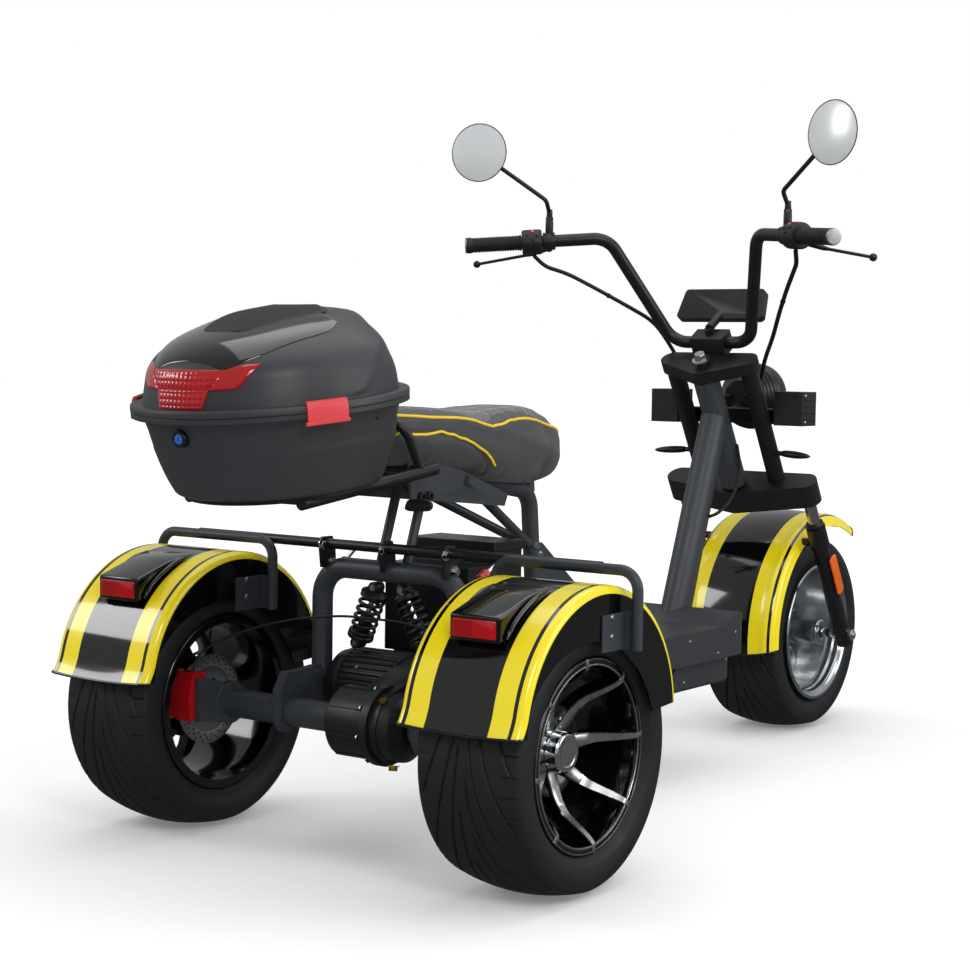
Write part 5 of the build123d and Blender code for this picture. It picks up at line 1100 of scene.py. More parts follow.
def make_lens():
    """T-shaped red lens: small pillows on a square grid that fade out towards its edges."""
    field = []

    def block_of(low, high, columns, rows, relief):
        """Part of the lens between two lines of (x, z) points."""
        flat = between(low, high, columns, rows)
        x, z = flat[..., 0], flat[..., 1]
        edge = np.minimum(np.linspace(0, 1, columns), np.linspace(1, 0, columns))[None, :]
        edge = np.minimum(edge * 14, 1) * np.minimum(
            np.minimum(np.linspace(0, 1, rows), np.linspace(1, 0, rows)) * 12, 1,
        )[:, None]
        pillow = np.abs(np.sin(np.pi * x / 9.5)) * np.abs(np.sin(np.pi * z / 9.5))
        out = on_lid_rear(x, z, 2.2 + relief * pillow * edge + 1.0 * edge)
        back = on_lid_rear(x, z, -1.0)
        return slab(out, back)

    field.append(block_of([(-46, 13), (0, 13), (46, 13)], [(-55, 44), (0, 44), (55, 44)], 77, 32, 1.1))
    field.append(block_of([(-55, 44), (0, 44), (55, 44)], [(-77, 73.5), (0, 75), (77, 73.5)], 93, 31, 1.1))
    for sign in (-1, 1):
        low = [(sign * 55, 42.5), (sign * 76, 43), (sign * 97, 44), (sign * 108, 57)]
        high = [(sign * 77, 73.5), (sign * 88, 77.5), (sign * 99, 80), (sign * 121, 80.5)]
        field.append(block_of(low, high, 34, 30, 0.5))
    piece("lens_tee", "box_lid", [(RED_LENS, joined(*field))], ["lid_lens"], smooth=38)


def lid_top(x, y, grow):
    """The lid's surface over a point of its plan: heights found along each level's outline."""
    z = np.linspace(13, 148, 400)
    scale, shift = level(LID_LEVELS, z)
    fall = y[..., None] - shift
    reach = np.where(fall > 0, PLAN_FRONT * scale, PLAN_REAR * scale)
    power = np.where(fall > 0, PLAN_POWER, 2.0)
    inside = (np.abs(x[..., None]) / (PLAN_HALF * scale)) ** power + (np.abs(fall) / reach) ** power
    above = np.minimum.accumulate(inside[..., ::-1] > 1, axis=-1)[..., ::-1]
    index = np.argmax(above, axis=-1)
    index = np.where(above.any(-1), index, len(z) - 1)
    low = np.clip(index - 1, 0, len(z) - 1)
    a = np.take_along_axis(inside, low[..., None], -1)[..., 0]
    b = np.take_along_axis(inside, index[..., None], -1)[..., 0]
    t = np.clip((1 - a) / np.where(b > a, b - a, 1), 0, 1)
    return z[low] + (z[index] - z[low]) * t + grow


def make_panel():
    """Gloss panel over the rear of the lid's top and, inside it, a pad of cross ribs."""
    rim = [
        (0, -206), (40, -205), (76, -200), (111, -157), (134, -95), (145, -31), (133, 10), (121, 20),
        (60, 25), (0, 26),
    ]
    half = curve(rim, 70)
    outline = np.vstack([half, (half * [-1, 1])[-2:0:-1]])
    middle = np.array([0, -70.0])
    t = np.concatenate([np.linspace(0.0, 0.9, 22), [0.94, 0.97, 0.99, 1.0]])[:, None, None]
    flat = middle + (outline - middle)[None] * t
    high = lid_top(flat[..., 0], flat[..., 1], 0)
    edge = 3.4 - 2.2 * np.clip((t[..., 0] - 0.9) / 0.1, 0, 1) ** 2
    out = case_point(flat[..., 0], flat[..., 1], high + edge)
    back = case_point(flat[-1:, :, 0] * 0.998, flat[-1:, :, 1], high[-1:] - 1.5)
    panel = skin(np.concatenate([out, back]), caps=False)
    piece("panel_gloss_top", "box_lid", [(BLACK_LACQUER, panel)], ["lid_panel"], smooth=50)
    # ribbed pad
    rim = [(0, -124), (30, -122), (52, -108), (78, -50), (92, 0), (90, 34), (66, 60), (0, 76)]
    half = curve(rim, 60)
    y_line = np.linspace(-122, 72, 196)
    wide = np.interp(y_line, half[:, 1], half[:, 0])
    u = np.linspace(-1, 1, 41)
    x = wide[:, None] * u
    y = y_line[:, None] + 0 * x - 5 * (1 - u**2)
    rib = np.clip(np.sin(2 * np.pi * y_line / 7.6) * 2, -1, 1)[:, None] * np.clip((1 - np.abs(u)) * 12, 0, 1)
    ends = np.clip(np.minimum(y_line + 122, 72 - y_line) / 5, 0, 1)[:, None]
    high = lid_top(x, y, 0)
    panel_thickness = 3.4
    out = case_point(
        x, y, high + panel_thickness + (1.4 + 1.0 * rib) * ends * np.clip((1 - np.abs(u)) * 10, 0.1, 1),
    )
    back = case_point(x, y, high - 2)
    piece("pad_ribbed", "box_lid", [(SOFT_PAD, slab(out, back))], [], smooth=60)


def make_latches():
    """Red latch on each side: a bowed plate over the seam with a rolled top, ribs and a pin at its foot."""
    parts = []
    y = np.linspace(-144, -80, 30)
    section = np.array([
        (1.2, -18), (5.2, -18.4), (6.2, -16), (5.6, -9), (6.2, -3), (6.2, 6), (5.0, 13), (2.6, 17.4),
        (-2.5, 18.6), (-4, 16), (-3.4, 13.2), (0.9, 12.6), (2.2, 8),
    ])
    for sign in SIDES.values():
        t = np.arcsin(np.clip(-y / PLAN_REAR, -1, 1))
        x = PLAN_HALF * np.cos(t)
        normal = np.stack([x / PLAN_HALF**2, y / PLAN_REAR**2], 1)
        normal /= np.linalg.norm(normal, axis=1, keepdims=True)
        px = x[:, None] + section[None, :, 0] * normal[:, :1]
        py = y[:, None] + section[None, :, 0] * normal[:, 1:]
        points = case_point(sign * px, py, section[None, :, 1] + 0 * px)
        parts.append(skin(points))
        pin = np.stack([sign * (x[[0, -1]] + 3), y[[0, -1]] + [-6, 3], [-17, -17]], 1)
        parts.append(pipe(case_point(pin[:, 0], pin[:, 1], pin[:, 2]), 3.2 * MM, 16))
    piece(
        "latches_red", "box_lid", [(CORAL_ACETAL, joined(*parts))], ["lid_latches"],
        smooth=36,
    )


make_top_box()
make_lid()
make_lens()
make_panel()
make_latches()


# ---------------------------------------------------------------- saddle
# along the saddle, in millimetres ahead of the rear axle: half width, underside, sewn edge and crown
SADDLE_LINE = np.array([
    (-34, 108, 704, 803, 805), (45, 118, 699, 801, 803), (132, 124, 693, 797, 800),
    (178, 126, 691, 791, 797), (225, 125, 688, 779, 793), (254, 123, 680, 775, 791),
    (284, 121, 672, 782, 791), (315, 118, 666, 790, 794), (351, 114, 660, 793, 797),
    (400, 106, 655, 791, 800), (440, 97, 652, 785, 800), (478, 85, 649, 776, 796),
])
SADDLE_TIP = 598.0
COVER = grain(
    finish("charcoal_leatherette", "3B3C3F", 0.52, Sheen_Weight=0.12), 1.5 * MM, 0.10 * MM, 0.06, tint=0.10,
)
QUILTED = grain(
    finish("grey_quilted_leatherette", "58575B", 0.6, Sheen_Weight=0.2), 1.2 * MM, 0.12 * MM, 0.05,
    tint=0.12,
)
YELLOW_CORD = grain(finish("yellow_vinyl_piping", "F0C818", 0.42), 1.4 * MM, 0.05 * MM, 0.05, tint=0.06)
PALE_THREAD = grain(finish("pale_polyester_thread", "C9C6BF", 0.6), 0.6 * MM, 0.05 * MM, 0.04)


def saddle_values(forward):
    """Half width, underside, sewn edge and crown at each place along the saddle, drawn in to a round nose."""
    line = curve(SADDLE_LINE, 300)
    last = line[-1, 0]
    t = np.clip((np.asarray(forward, float) - last) / (SADDLE_TIP - last), 0, 1)
    width, low, seam, crown = (np.interp(forward, line[:, 0], line[:, k]) for k in range(1, 5))
    tip = 684.0
    closing = np.sqrt(np.clip(1 - t**2.2, 0, 1))
    falling = np.sqrt(np.clip(1 - t**1.5, 0, 1))
    return width * closing, tip + (low - tip) * closing, tip + (seam - tip) * falling, tip + (
        crown - tip
    ) * falling


def saddle_ring(forward, turn, grow=0.0):
    """Points round the saddle: a crowned upper half and a boxy lower half that meet below the sewn edge."""
    width, low, seam, crown = saddle_values(forward)
    middle = seam - 0.16 * (seam - low)
    c, s = np.cos(turn), np.sin(turn)
    upper = s > 0
    x = np.maximum(width + grow, 0.2) * np.sign(c) * np.abs(c) ** np.where(upper, 0.62, 0.34)
    rise = np.where(
        upper, np.abs(s) ** 1.1 * np.maximum(crown - middle + grow, 0.2),
        -np.abs(s) ** 0.40 * (middle - low + grow),
    )
    tuck = np.where(upper, 0, 9 * np.sin(np.clip(-s, 0, 1) * np.pi / 2) ** 2)
    x = np.sign(x) * np.maximum(np.abs(x) - tuck, 0)
    return np.stack([x, np.broadcast_to(forward, x.shape), middle + rise], -1)


def from_axle(points):
    """Millimetres (across, ahead of the rear axle, above the ground) as metres in the machine's frame."""
    return np.asarray(points, float) * MM + [0, REAR_AXLE[1], 0]


def saddle_mesh(grow):
    """The saddle's closed surface, ring by ring from its rear to its nose."""
    nose_start = SADDLE_LINE[-1, 0]
    forward = np.concatenate([
        [-34, -33.2, -31], np.linspace(-27, 470, 90),
        nose_start + (SADDLE_TIP - nose_start) * np.sin(np.linspace(0, 1, 26)[1:] * np.pi / 2),
    ])
    inset = np.concatenate([[-7, -3.5, -1], np.zeros(115)])
    turn = np.linspace(0, 2 * np.pi, 96, endpoint=False)[None, :]
    return skin(from_axle(saddle_ring(forward[:, None], turn, grow + inset[:, None])))


def inflated(source, voxel, cap):
    """A remeshed copy of a closed mesh, blown up by the pressure of its filling: no point moves further
    than the cap."""
    solid = source.modifiers.new("even_mesh", "REMESH")
    solid.mode = "VOXEL"
    solid.voxel_size = voxel
    depsgraph = bpy.context.evaluated_depsgraph_get()
    mesh = bpy.data.meshes.new_from_object(source.evaluated_get(depsgraph))
    source.modifiers.clear()
    count = len(mesh.vertices)
    start = np.empty(count * 3)
    mesh.vertices.foreach_get("co", start)
    blown = bpy.data.objects.new("blown", mesh)
    bpy.context.scene.collection.objects.link(blown)
    cloth = blown.modifiers.new("filling", "CLOTH")
    cloth.settings.use_pressure = True
    cloth.settings.uniform_pressure_force = 4.0
    cloth.settings.effector_weights.gravity = 0.0
    cloth.settings.quality = 4
    for step in range(1, 21):
        bpy.context.scene.frame_set(step)
    settled = blown.evaluated_get(bpy.context.evaluated_depsgraph_get()).to_mesh()
    end = np.empty(count * 3)
    settled.vertices.foreach_get("co", end)
    blown.evaluated_get(bpy.context.evaluated_depsgraph_get()).to_mesh_clear()
    bpy.data.objects.remove(blown)
    bpy.context.scene.frame_set(1)
    move = (end - start).reshape(-1, 3)
    length = np.linalg.norm(move, axis=1, keepdims=True)
    move *= np.minimum(1, cap / np.maximum(length, 1e-9))
    mesh.vertices.foreach_set("co", (start.reshape(-1, 3) + move).ravel())
    return mesh


UPPER_SEAM = np.array([
    (-34, 803), (45, 801), (132, 797), (178, 791), (225, 779), (254, 775), (284, 782), (315, 790),
    (351, 793), (400, 790), (440, 783), (478, 775), (520, 766), (552, 757), (566, 752),
])
LOWER_SEAM = np.array([
    (-34, 760), (2, 760), (72, 758), (123, 751), (168, 738), (216, 719), (252, 697), (276, 674),
])
QUILT_ACROSS = [-48, 0, 48]
QUILT_FORWARD = np.arange(20, 560, 46.0)
# how far the cross lines of the quilting bow back 100 mm from the middle
QUILT_BOW = 14


def on_saddle(points, surface, normals, lift):
    """Points moved to the nearest vertex of the saddle and lifted off it."""
    apart = np.linalg.norm(surface[None] - points[:, None], axis=2)
    nearest = apart.argmin(1)
    return surface[nearest] + normals[nearest] * lift


def evened(points, rounds=6):
    """A line of points smoothed along itself, its ends kept."""
    line = points.copy()
    for _ in range(rounds):
        line[1:-1] = 0.5 * line[1:-1] + 0.25 * (line[:-2] + line[2:])
    return line


def make_saddle():
    """Foam saddle under leatherette: blown up by cloth simulation, then sewn channels, piping and thread."""
    base = bpy.data.objects.new("saddle_base", bpy.data.meshes.new("saddle_base"))
    vertices, faces = saddle_mesh(-3.0)
    base.data.from_pydata(vertices.tolist(), [], faces)
    solid = bmesh.new()
    solid.from_mesh(base.data)
    bmesh.ops.remove_doubles(solid, verts=solid.verts, dist=1e-5)
    bmesh.ops.recalc_face_normals(solid, faces=solid.faces)
    solid.to_mesh(base.data)
    solid.free()
    bpy.context.scene.collection.objects.link(base)
    mesh = inflated(base, 5 * MM, 5 * MM)
    bpy.data.objects.remove(base)
    mesh.name = "saddle_cover"
    obj = bpy.data.objects.new("saddle_cover", mesh)
    bpy.context.scene.collection.objects.link(obj)
    finer = obj.modifiers.new("finer", "SUBSURF")
    finer.levels = finer.render_levels = 1
    dense = bpy.data.meshes.new_from_object(obj.evaluated_get(bpy.context.evaluated_depsgraph_get()))
    obj.modifiers.clear()
    obj.data = dense
    count = len(dense.vertices)
    points = np.empty(count * 3)
    normals = np.empty(count * 3)
    dense.vertices.foreach_get("co", points)
    dense.vertices.foreach_get("normal", normals)
    points, normals = points.reshape(-1, 3), normals.reshape(-1, 3)
    x, forward, z = ((points - from_axle((0, 0, 0))) / MM).T
    # channels: the sewn edge, the lower seam on each side, and the quilting of the top
    edge = np.interp(forward, UPPER_SEAM[:, 0], UPPER_SEAM[:, 1])
    side = np.abs(x) > 0.55 * saddle_values(forward)[0]
    depth = 2.2 * np.exp(-(((z - edge) / 5) ** 2)) * side
    low = np.interp(forward, LOWER_SEAM[:, 0], LOWER_SEAM[:, 1])
    depth += 2.0 * np.exp(-(((z - low) / 5) ** 2)) * side * (forward < LOWER_SEAM[-1, 0])
    top = z > edge
    across = np.min(np.abs(x[:, None] - QUILT_ACROSS), axis=1)
    bow = forward + QUILT_BOW * (x / 100) ** 2
    ahead = np.min(np.abs(bow[:, None] - QUILT_FORWARD), axis=1)
    depth += 1.8 * top * np.maximum(np.exp(-((across / 5) ** 2)), np.exp(-((ahead / 5) ** 2)))
    # a soft fold along the side, from the sewn edge down to the nose
    fold = np.interp(forward, [150, 300, 450, 560], [782, 757, 726, 700])
    fading = np.clip((forward - 120) / 60, 0, 1) * np.clip((590 - forward) / 60, 0, 1)
    depth -= 2.0 * np.exp(-(((z - fold) / 12) ** 2)) * side * fading
    points = points - normals * depth[:, None] * MM
    dense.vertices.foreach_set("co", points.ravel())
    dense.update()
    dense.materials.clear()
    dense.materials.append(COVER)
    dense.materials.append(QUILTED)
    centres = np.empty(len(dense.polygons) * 3)
    dense.polygons.foreach_get("center", centres)
    _, cy, cz = ((centres.reshape(-1, 3) - from_axle((0, 0, 0))) / MM).T
    over = (
        cz > np.interp(cy, UPPER_SEAM[:, 0], UPPER_SEAM[:, 1]) - 0.5
    ) & (cy > UPPER_SEAM[0, 0] + 1) & (cy < UPPER_SEAM[-1, 0])
    dense.polygons.foreach_set("material_index", over.astype(np.int32))
    dense.polygons.foreach_set("use_smooth", np.ones(len(dense.polygons), bool))
    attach(obj, "chassis")
    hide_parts("seat")
    surface, outward = points[::2], normals[::2]
    parts, threads = [], []
    line = curve(UPPER_SEAM, 170)
    width = saddle_values(line[:, 0])[0]
    right = from_axle(np.stack([width * 1.02, line[:, 0], line[:, 1]], 1))
    right = evened(on_saddle(right, surface, outward, 0.9 * MM))
    whole = np.vstack([right, (right * [-1, 1, 1])[::-1]])
    parts.append(pipe(evened(whole, 3), 2.7 * MM, 12))
    line = curve(LOWER_SEAM, 90)
    width = saddle_values(line[:, 0])[0]
    lower = from_axle(np.stack([width * 1.02, line[:, 0], line[:, 1]], 1))
    lower = evened(on_saddle(lower, surface, outward, 0.9 * MM))
    for side_of in (lower, lower * [-1, 1, 1]):
        parts.append(pipe(side_of, 2.6 * MM, 12))
    piece("saddle_piping", "chassis", [(YELLOW_CORD, joined(*parts))], [])
    # thread: short stitches along each quilted line
    for middle in QUILT_ACROSS:
        y_line = np.arange(-20, 500, 5.2)
        threads.append(from_axle(np.stack([
            np.full_like(y_line, middle), y_line, np.full_like(y_line, 800),
        ], 1)))
    for middle in QUILT_FORWARD[:-2]:
        x_line = np.arange(-88, 88.1, 5.2)
        threads.append(from_axle(np.stack([
            x_line, middle - QUILT_BOW * (x_line / 100) ** 2, np.full_like(x_line, 796),
        ], 1)))
    stitches = []
    roof = outward[:, 2] > 0.5
    for row in threads:
        row = on_saddle(row, surface[roof], outward[roof], 0.3 * MM)
        for start, end in zip(row[:-1], row[1:]):
            ends = start + (end - start) * np.array([[0.15], [0.5], [0.85]]) + [
                [0, 0, 0], [0, 0, 0.25 * MM], [0, 0, 0],
            ]
            stitches.append(pipe(ends, np.array([0.35, 0.6, 0.35]) * MM, 6))
    piece("saddle_stitches", "chassis", [(PALE_THREAD, joined(*stitches))], [])


make_saddle()


# ---------------------------------------------------------------- frame, housings and floor
def finished(node, body, bevel=0.8):
    """A merged copy of a CAD part, shaded smooth below 32 degrees, with its hard edges broken by a small
    bevel."""
    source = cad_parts[node].data
    mesh = source.copy()
    mesh.name = node + "_finished"
    solid = bmesh.new()
    solid.from_mesh(mesh)
    bmesh.ops.remove_doubles(solid, verts=solid.verts, dist=2e-5)
    bmesh.ops.dissolve_limit(solid, angle_limit=np.radians(0.4), verts=solid.verts, edges=solid.edges)
    solid.to_mesh(mesh)
    solid.free()
    obj = shown(node + "_finished", mesh, body, [node], 32)
    if bevel:
        edge = obj.modifiers.new("softened_edges", "BEVEL")
        edge.width = bevel * MM
        edge.segments = 2
        edge.limit_method = "ANGLE"
        edge.angle_limit = np.radians(40)
        edge.harden_normals = True
    return obj


FINISHED = {
    "frame_paint": ["main_frame", "seat_frame", "rear_arch", "axle_housing", "fender_rails"],
    "black_paint": ["rear_rack", "cross_bar"],
    "black_plastic": ["footboard", "floor_case", "battery_box"],
    "cast_black": ["gearbox"],
    "caliper_red": ["rear_calipers"],
}
for slot_name, nodes in FINISHED.items():
    for node in nodes:
        finished(node, "chassis", 1.6 if slot_name == "black_plastic" else 0.8)


def bolt(centre, axis, radius, height):
    """A hexagon bolt head on a washer."""
    away = np.asarray(axis, float) / np.linalg.norm(axis)
    washer = turned(np.array([(0, 0), (0, 1.45), (0.22, 1.45), (0.22, 0)]) * radius, centre, axis, 24)
    head = hexagon(np.asarray(centre) + away * radius * 0.2, axis, radius, height)
    return joined(washer, head)


def make_bolts():
    """Plated bolts, button screws of the fender plates, floor and case, black caps and the charging
    socket."""
    plated = []
    for x, forward, z in [(3, 67, 543), (145, 96, 511), (-139, 95, 509), (-139, 67, 543), (145, 67, 543)]:
        plated.append(bolt(from_axle((x, forward, z)), (1, 0, 0), 7.5 * MM, 6 * MM))
    for x, forward, z in [(12, 548, 519), (12, 562, 498), (-12, 548, 519)]:
        plated.append(bolt(from_axle((x, forward, z)), (np.sign(x), -0.5, 0), 8 * MM, 7 * MM))
    buttons = []
    for sign in SIDES.values():
        for wall, away in ((281, -1), (523, 1)):
            for z in (438, 470):
                buttons.append(
                    screw(
                        from_axle((sign * (wall + away * 3.3), 14, z)), (sign * away, 0, 0), 5.5 * MM,
                        3 * MM,
                    )
                )
        for forward, z in [(734, 276), (908, 300), (805, 276), (1033, 262), (1110, 300)]:
            buttons.append(screw(from_axle((sign * 170, forward, z)), (sign, 0, 0), 4.5 * MM, 2 * MM))
        for forward, z in [(690, 235), (1120, 236), (935, 206)]:
            buttons.append(screw(from_axle((sign * 142, forward, z)), (sign, 0, 0), 5 * MM, 2.4 * MM))
    piece("bolts_plated", "chassis", [
        (CHROME, joined(*plated)), (DISC_STEEL, joined(*buttons)),
    ], [])
    black = [
        lathe([
            (0, 0), (0, 9), (6, 9), (7.5, 8), (7.5, 4.6), (3, 4.4), (3, 0),
        ], from_axle((sign * 85, forward, 643)), (sign, 0, 0), 28) for sign in SIDES.values()
        for forward in (71, 94)
    ]
    lock = lathe([
        (0, 0), (0, 10), (2.5, 9.6), (3.2, 8.6), (3.2, 5), (1.6, 4.6), (1.6, 0),
    ], from_axle((142, 882, 240)), (1, 0, 0), 32)
    piece("bolts_black", "chassis", [(BLACK_COAT, joined(*black, lock))], [])


make_bolts()


def coil(start, end, radius, wire, turns, steps=18):
    """A wire wound round the line from start to end: centre + radius * (side cos t + rise sin t), flat
    at both ends."""
    start, end = np.asarray(start, float), np.asarray(end, float)
    axis = (end - start) / np.linalg.norm(end - start)
    side = np.cross(axis, (0, 1, 0))
    side /= np.linalg.norm(side)
    rise = np.cross(axis, side)
    t = np.linspace(0, 1, turns * steps)
    climb = np.clip((t * turns - 0.8) / (turns - 1.6), 0, 1)
    angle = 2 * np.pi * turns * t[:, None]
    line = start + (end - start) * climb[:, None] + radius * (side * np.cos(angle) + rise * np.sin(angle))
    return pipe(line, wire, 10, up=axis)


def make_shocks():
    """Two dampers with open black springs, rods, cups, eyes and bushes, and the two red canisters."""
    springs, rods, bodies, bushes = [], [], [], []
    upper_eye = 469.2
    for sign in SIDES.values():
        foot, head = from_axle((sign * 80, 104, 362)), from_axle((sign * 32, 95, upper_eye))
        up = (head - foot) / np.linalg.norm(head - foot)
        springs.append(coil(foot + up * 18 * MM, head - up * 18 * MM, 21.5 * MM, 3.6 * MM, 7, 24))
        rods.append(pipe(np.array([foot, head]), 5 * MM, 20, up=(0, 1, 0)))
        long = np.linalg.norm(head - foot) / MM
        body = softened([
            (8, 0), (8, 17), (12, 25), (16, 25), (16, 12), (long * 0.52, 12), (long * 0.52, 0),
        ], 0.8, 3)
        bodies.append(lathe(body, foot, up, 36))
        cup = softened([(-6, 0), (-6, 14), (-13, 25), (-17, 25), (-17, 9), (-22, 0)], 0.8, 3)
        bodies.append(lathe(cup, head + up * 1 * MM, up, 36))
        for eye in (foot, head):
            ring = softened([(-12, 6), (-12, 10.6), (12, 10.6), (12, 6)], 0.8, 3)
            bodies.append(lathe(ring, eye, (0, 1, 0), 32))
            bushes.append(lathe([(-13, 0), (-13, 6), (13, 6), (13, 0)], eye, (0, 1, 0), 24))
    piece(
        "shock_springs", "chassis",
        [(BLACK_COAT, joined(*springs, *bodies)), (CHROME, joined(*rods)), (DISC_STEEL, joined(*bushes))],
        ["shocks"], smooth=40,
    )
    reds, silvers = [], []
    for sign in SIDES.values():
        low, high = from_axle((sign * 164, 159, 500)), from_axle((sign * 168, 192, 519))
        axis = (high - low) / np.linalg.norm(high - low)
        jar = softened([
            (-14, 0), (-14, 7), (-11, 9.5), (-3, 9.5), (-2, 8.6), (0, 9.5), (9, 9.5), (12, 7), (12, 0),
        ], 0.6, 3)
        reds.append(lathe(jar, low, axis, 32))
        silvers.append(pipe(np.array([low, high + axis * 6 * MM]), 4.2 * MM, 20))
    piece("damper_canisters", "chassis", [
        (CALIPER_RED, joined(*reds)), (CHROME, joined(*silvers)),
    ], [])


make_shocks()


def make_motor():
    """Finned motor can between two end bells, with screws, and the drive's plugs, ribs and flange bolts."""
    centre = from_axle((0, 128, 282))
    t = np.linspace(0, 2 * np.pi, 288, endpoint=False)
    rows = [
        (-130, 0, 0), (-130, 56, 0), (-127, 60, 0), (-112, 63, 0), (-108, 66.5, 0), (-98, 66.5, 0),
        (-97, 63, 0.2), (-94, 63, 1), (18, 63, 1), (20, 63, 0.2), (21, 66.5, 0), (25, 66.5, 0), (25, 0, 0),
    ]
    fin = 4.4 * np.clip(np.sin(36 * t) * 1.6 + 0.2, 0, 1)
    grid = np.stack([
        np.stack([np.full_like(t, x), (radius + on * fin) * np.cos(t), (radius + on * fin) * np.sin(t)], 1)
        for x, radius, on in rows
    ])
    can = skin(centre + grid * MM, caps=False)
    screws = []
    for turn in np.arange(6) * np.pi / 3 + 0.4:
        spot = centre + np.array([-114, 58 * np.cos(turn), 58 * np.sin(turn)]) * MM
        screws.append(screw(spot, (-1, 0, 0), 3.6 * MM, 2.6 * MM))
        screws.append(
            screw(
                centre + np.array([-60, 0, 0]) * MM + np.array([0, np.cos(turn), np.sin(turn)]) * 66 * MM,
                (0, np.cos(turn), np.sin(turn)), 3.2 * MM, 1.6 * MM,
            )
        )
    piece(
        "motor_can", "chassis", [(CAST_BLACK, can), (CHROME, joined(*screws))],
        ["drive_motor"], smooth=36,
    )
    heads, ribs, brass = [], [], []
    for turn in np.arange(8) * np.pi / 4 + 0.2:
        out = np.array([0, np.cos(turn), np.sin(turn)])
        spot = from_axle((60, 0, TREAD_RADIUS)) + out * 67 * MM
        heads.append(bolt(spot, (-1, 0, 0), 4.6 * MM, 5 * MM))
        rib = plate([
            (-33, 40), (-20, 60), (58, 61.5), (58, 68), (40, 66.5), (-16, 66.5), (-33, 49),
        ], (0, 0, 0), (1, 0, 0), out, 3.2, 0.4)
        ribs.append((from_axle((0, 0, TREAD_RADIUS)) + rib[0] * MM, rib[1]))
    brass.append(bolt(from_axle((92, -36, 286)), (0.2, -0.7, 0.7), 8 * MM, 8 * MM))
    brass.append(bolt(from_axle((96, -12, 172)), (0.1, -0.2, -1), 8 * MM, 8 * MM))
    heads.append(bolt(from_axle((126, -20, 250)), (1, -0.3, 0.1), 5 * MM, 5 * MM))
    piece("drive_fittings", "chassis", [
        (DISC_STEEL, joined(*heads)), (CAST_BLACK, joined(*ribs)), (BRASS, joined(*brass)),
    ], [])


make_motor()


def make_disc(name, body, x, axle, replaces, inner=30.0):
    """A brake disc: a drilled friction ring on a thinner spider, both faces flat."""
    section = rounded([(-2, 62), (2, 62), (2, 85), (-2, 85)], 0.4, 3)
    ring = lathe(section, axle + [x * MM, 0, 0], (1, 0, 0), 96, closed=True)
    hub = rounded([(-1.6, inner), (1.6, inner), (1.6, 63), (-1.6, 63)], 0.3, 3)
    spider = lathe(hub, axle + [x * MM, 0, 0], (1, 0, 0), 96, closed=True)
    hole_shade_plugs, screws = [], []
    # painted shade: the drill holes are dark rubber plugs set through the ring, where open holes would show
    # dark
    for turn in np.arange(24) * np.pi / 12:
        for reach in (68, 74, 80):
            place = axle + np.array([
                x, reach * np.cos(turn + reach / 60), reach * np.sin(turn + reach / 60),
            ]) * MM
            hole_shade_plugs.append(lathe([(-2.06, 0), (-2.06, 2.2), (2.06, 2.2), (2.06, 0)], place, (1, 0, 0), 12))
    for turn in np.arange(5) * 2 * np.pi / 5:
        place = axle + np.array([x, 36 * np.cos(turn), 36 * np.sin(turn)]) * MM
        for away in (-1, 1):
            screws.append(screw(place + np.array([away * 1.6 * MM, 0, 0]), (away, 0, 0), 4.5 * MM, 3 * MM))
    parts = [(DISC_STEEL, joined(ring, spider)), (RUBBER, joined(*hole_shade_plugs)), (BLACK_COAT, joined(*screws))]
    piece(name, body, parts, [replaces])


for side, sign in SIDES.items():
    disc_x = sign * REAR_DISC_X
    make_disc("disc_" + side, "rear_wheel_" + side, disc_x, REAR_AXLE, "rear_disc_" + side)
make_disc("disc_front", "front_wheel", -114, FRONT_AXLE, "front_disc", inner=24.0)


def make_reflector():
    """Oval black housing of the reflector under the rack."""
    ring = rounded([(-29, -8), (-20, -12), (22, -11), (29, -3), (26, 7), (10, 10), (-22, 9)], 7, 5)
    middle = from_axle((176, -50, 640))
    grey = plate(ring, (0, 0, 0), (1, 0, 0), (0, 0, 1), 7, 1.4)
    shell = (
        middle + (
            grey[0][:, :1] * [1, 0.05, 0.02] + grey[0][:, 1:2] * [0, 1, 0] + grey[0][:, 2:] * [0, 0, 1]
        ) * MM, grey[1],
    )
    parts = [(BLACK_ABS, shell)]
    piece("rack_reflector", "chassis", parts, [])


def cord_path(route):
    """A cord's route in metres: straight runs joined by the widest arcs that fit, as the CAD part has
    them."""
    p = from_axle(route)
    first, second = p[1:-1] - p[:-2], p[2:] - p[1:-1]
    long_first, long_second = np.linalg.norm(first, axis=1), np.linalg.norm(second, axis=1)
    half = np.arccos(np.clip((first * second).sum(1) / (long_first * long_second), -1, 1)) / 2
    return bent(p, 0.45 * np.minimum(long_first, long_second) / np.tan(half))


def corrugated(route, radius, pitch=3.2):
    """A ribbed sleeve along a route: its radius swings by a tenth over each pitch."""
    line = cord_path(route)
    reach = np.concatenate([[0], np.cumsum(np.linalg.norm(np.diff(line, axis=0), axis=1))])
    s = np.arange(0, reach[-1], pitch * MM / 4)
    even = np.stack([np.interp(s, reach, line[:, k]) for k in range(3)], 1)
    swell = radius * MM * (1 - 0.09 + 0.09 * np.cos(2 * np.pi * s / (pitch * MM)))
    return pipe(even, swell, 14, up=(0.3, 0.2, 1))


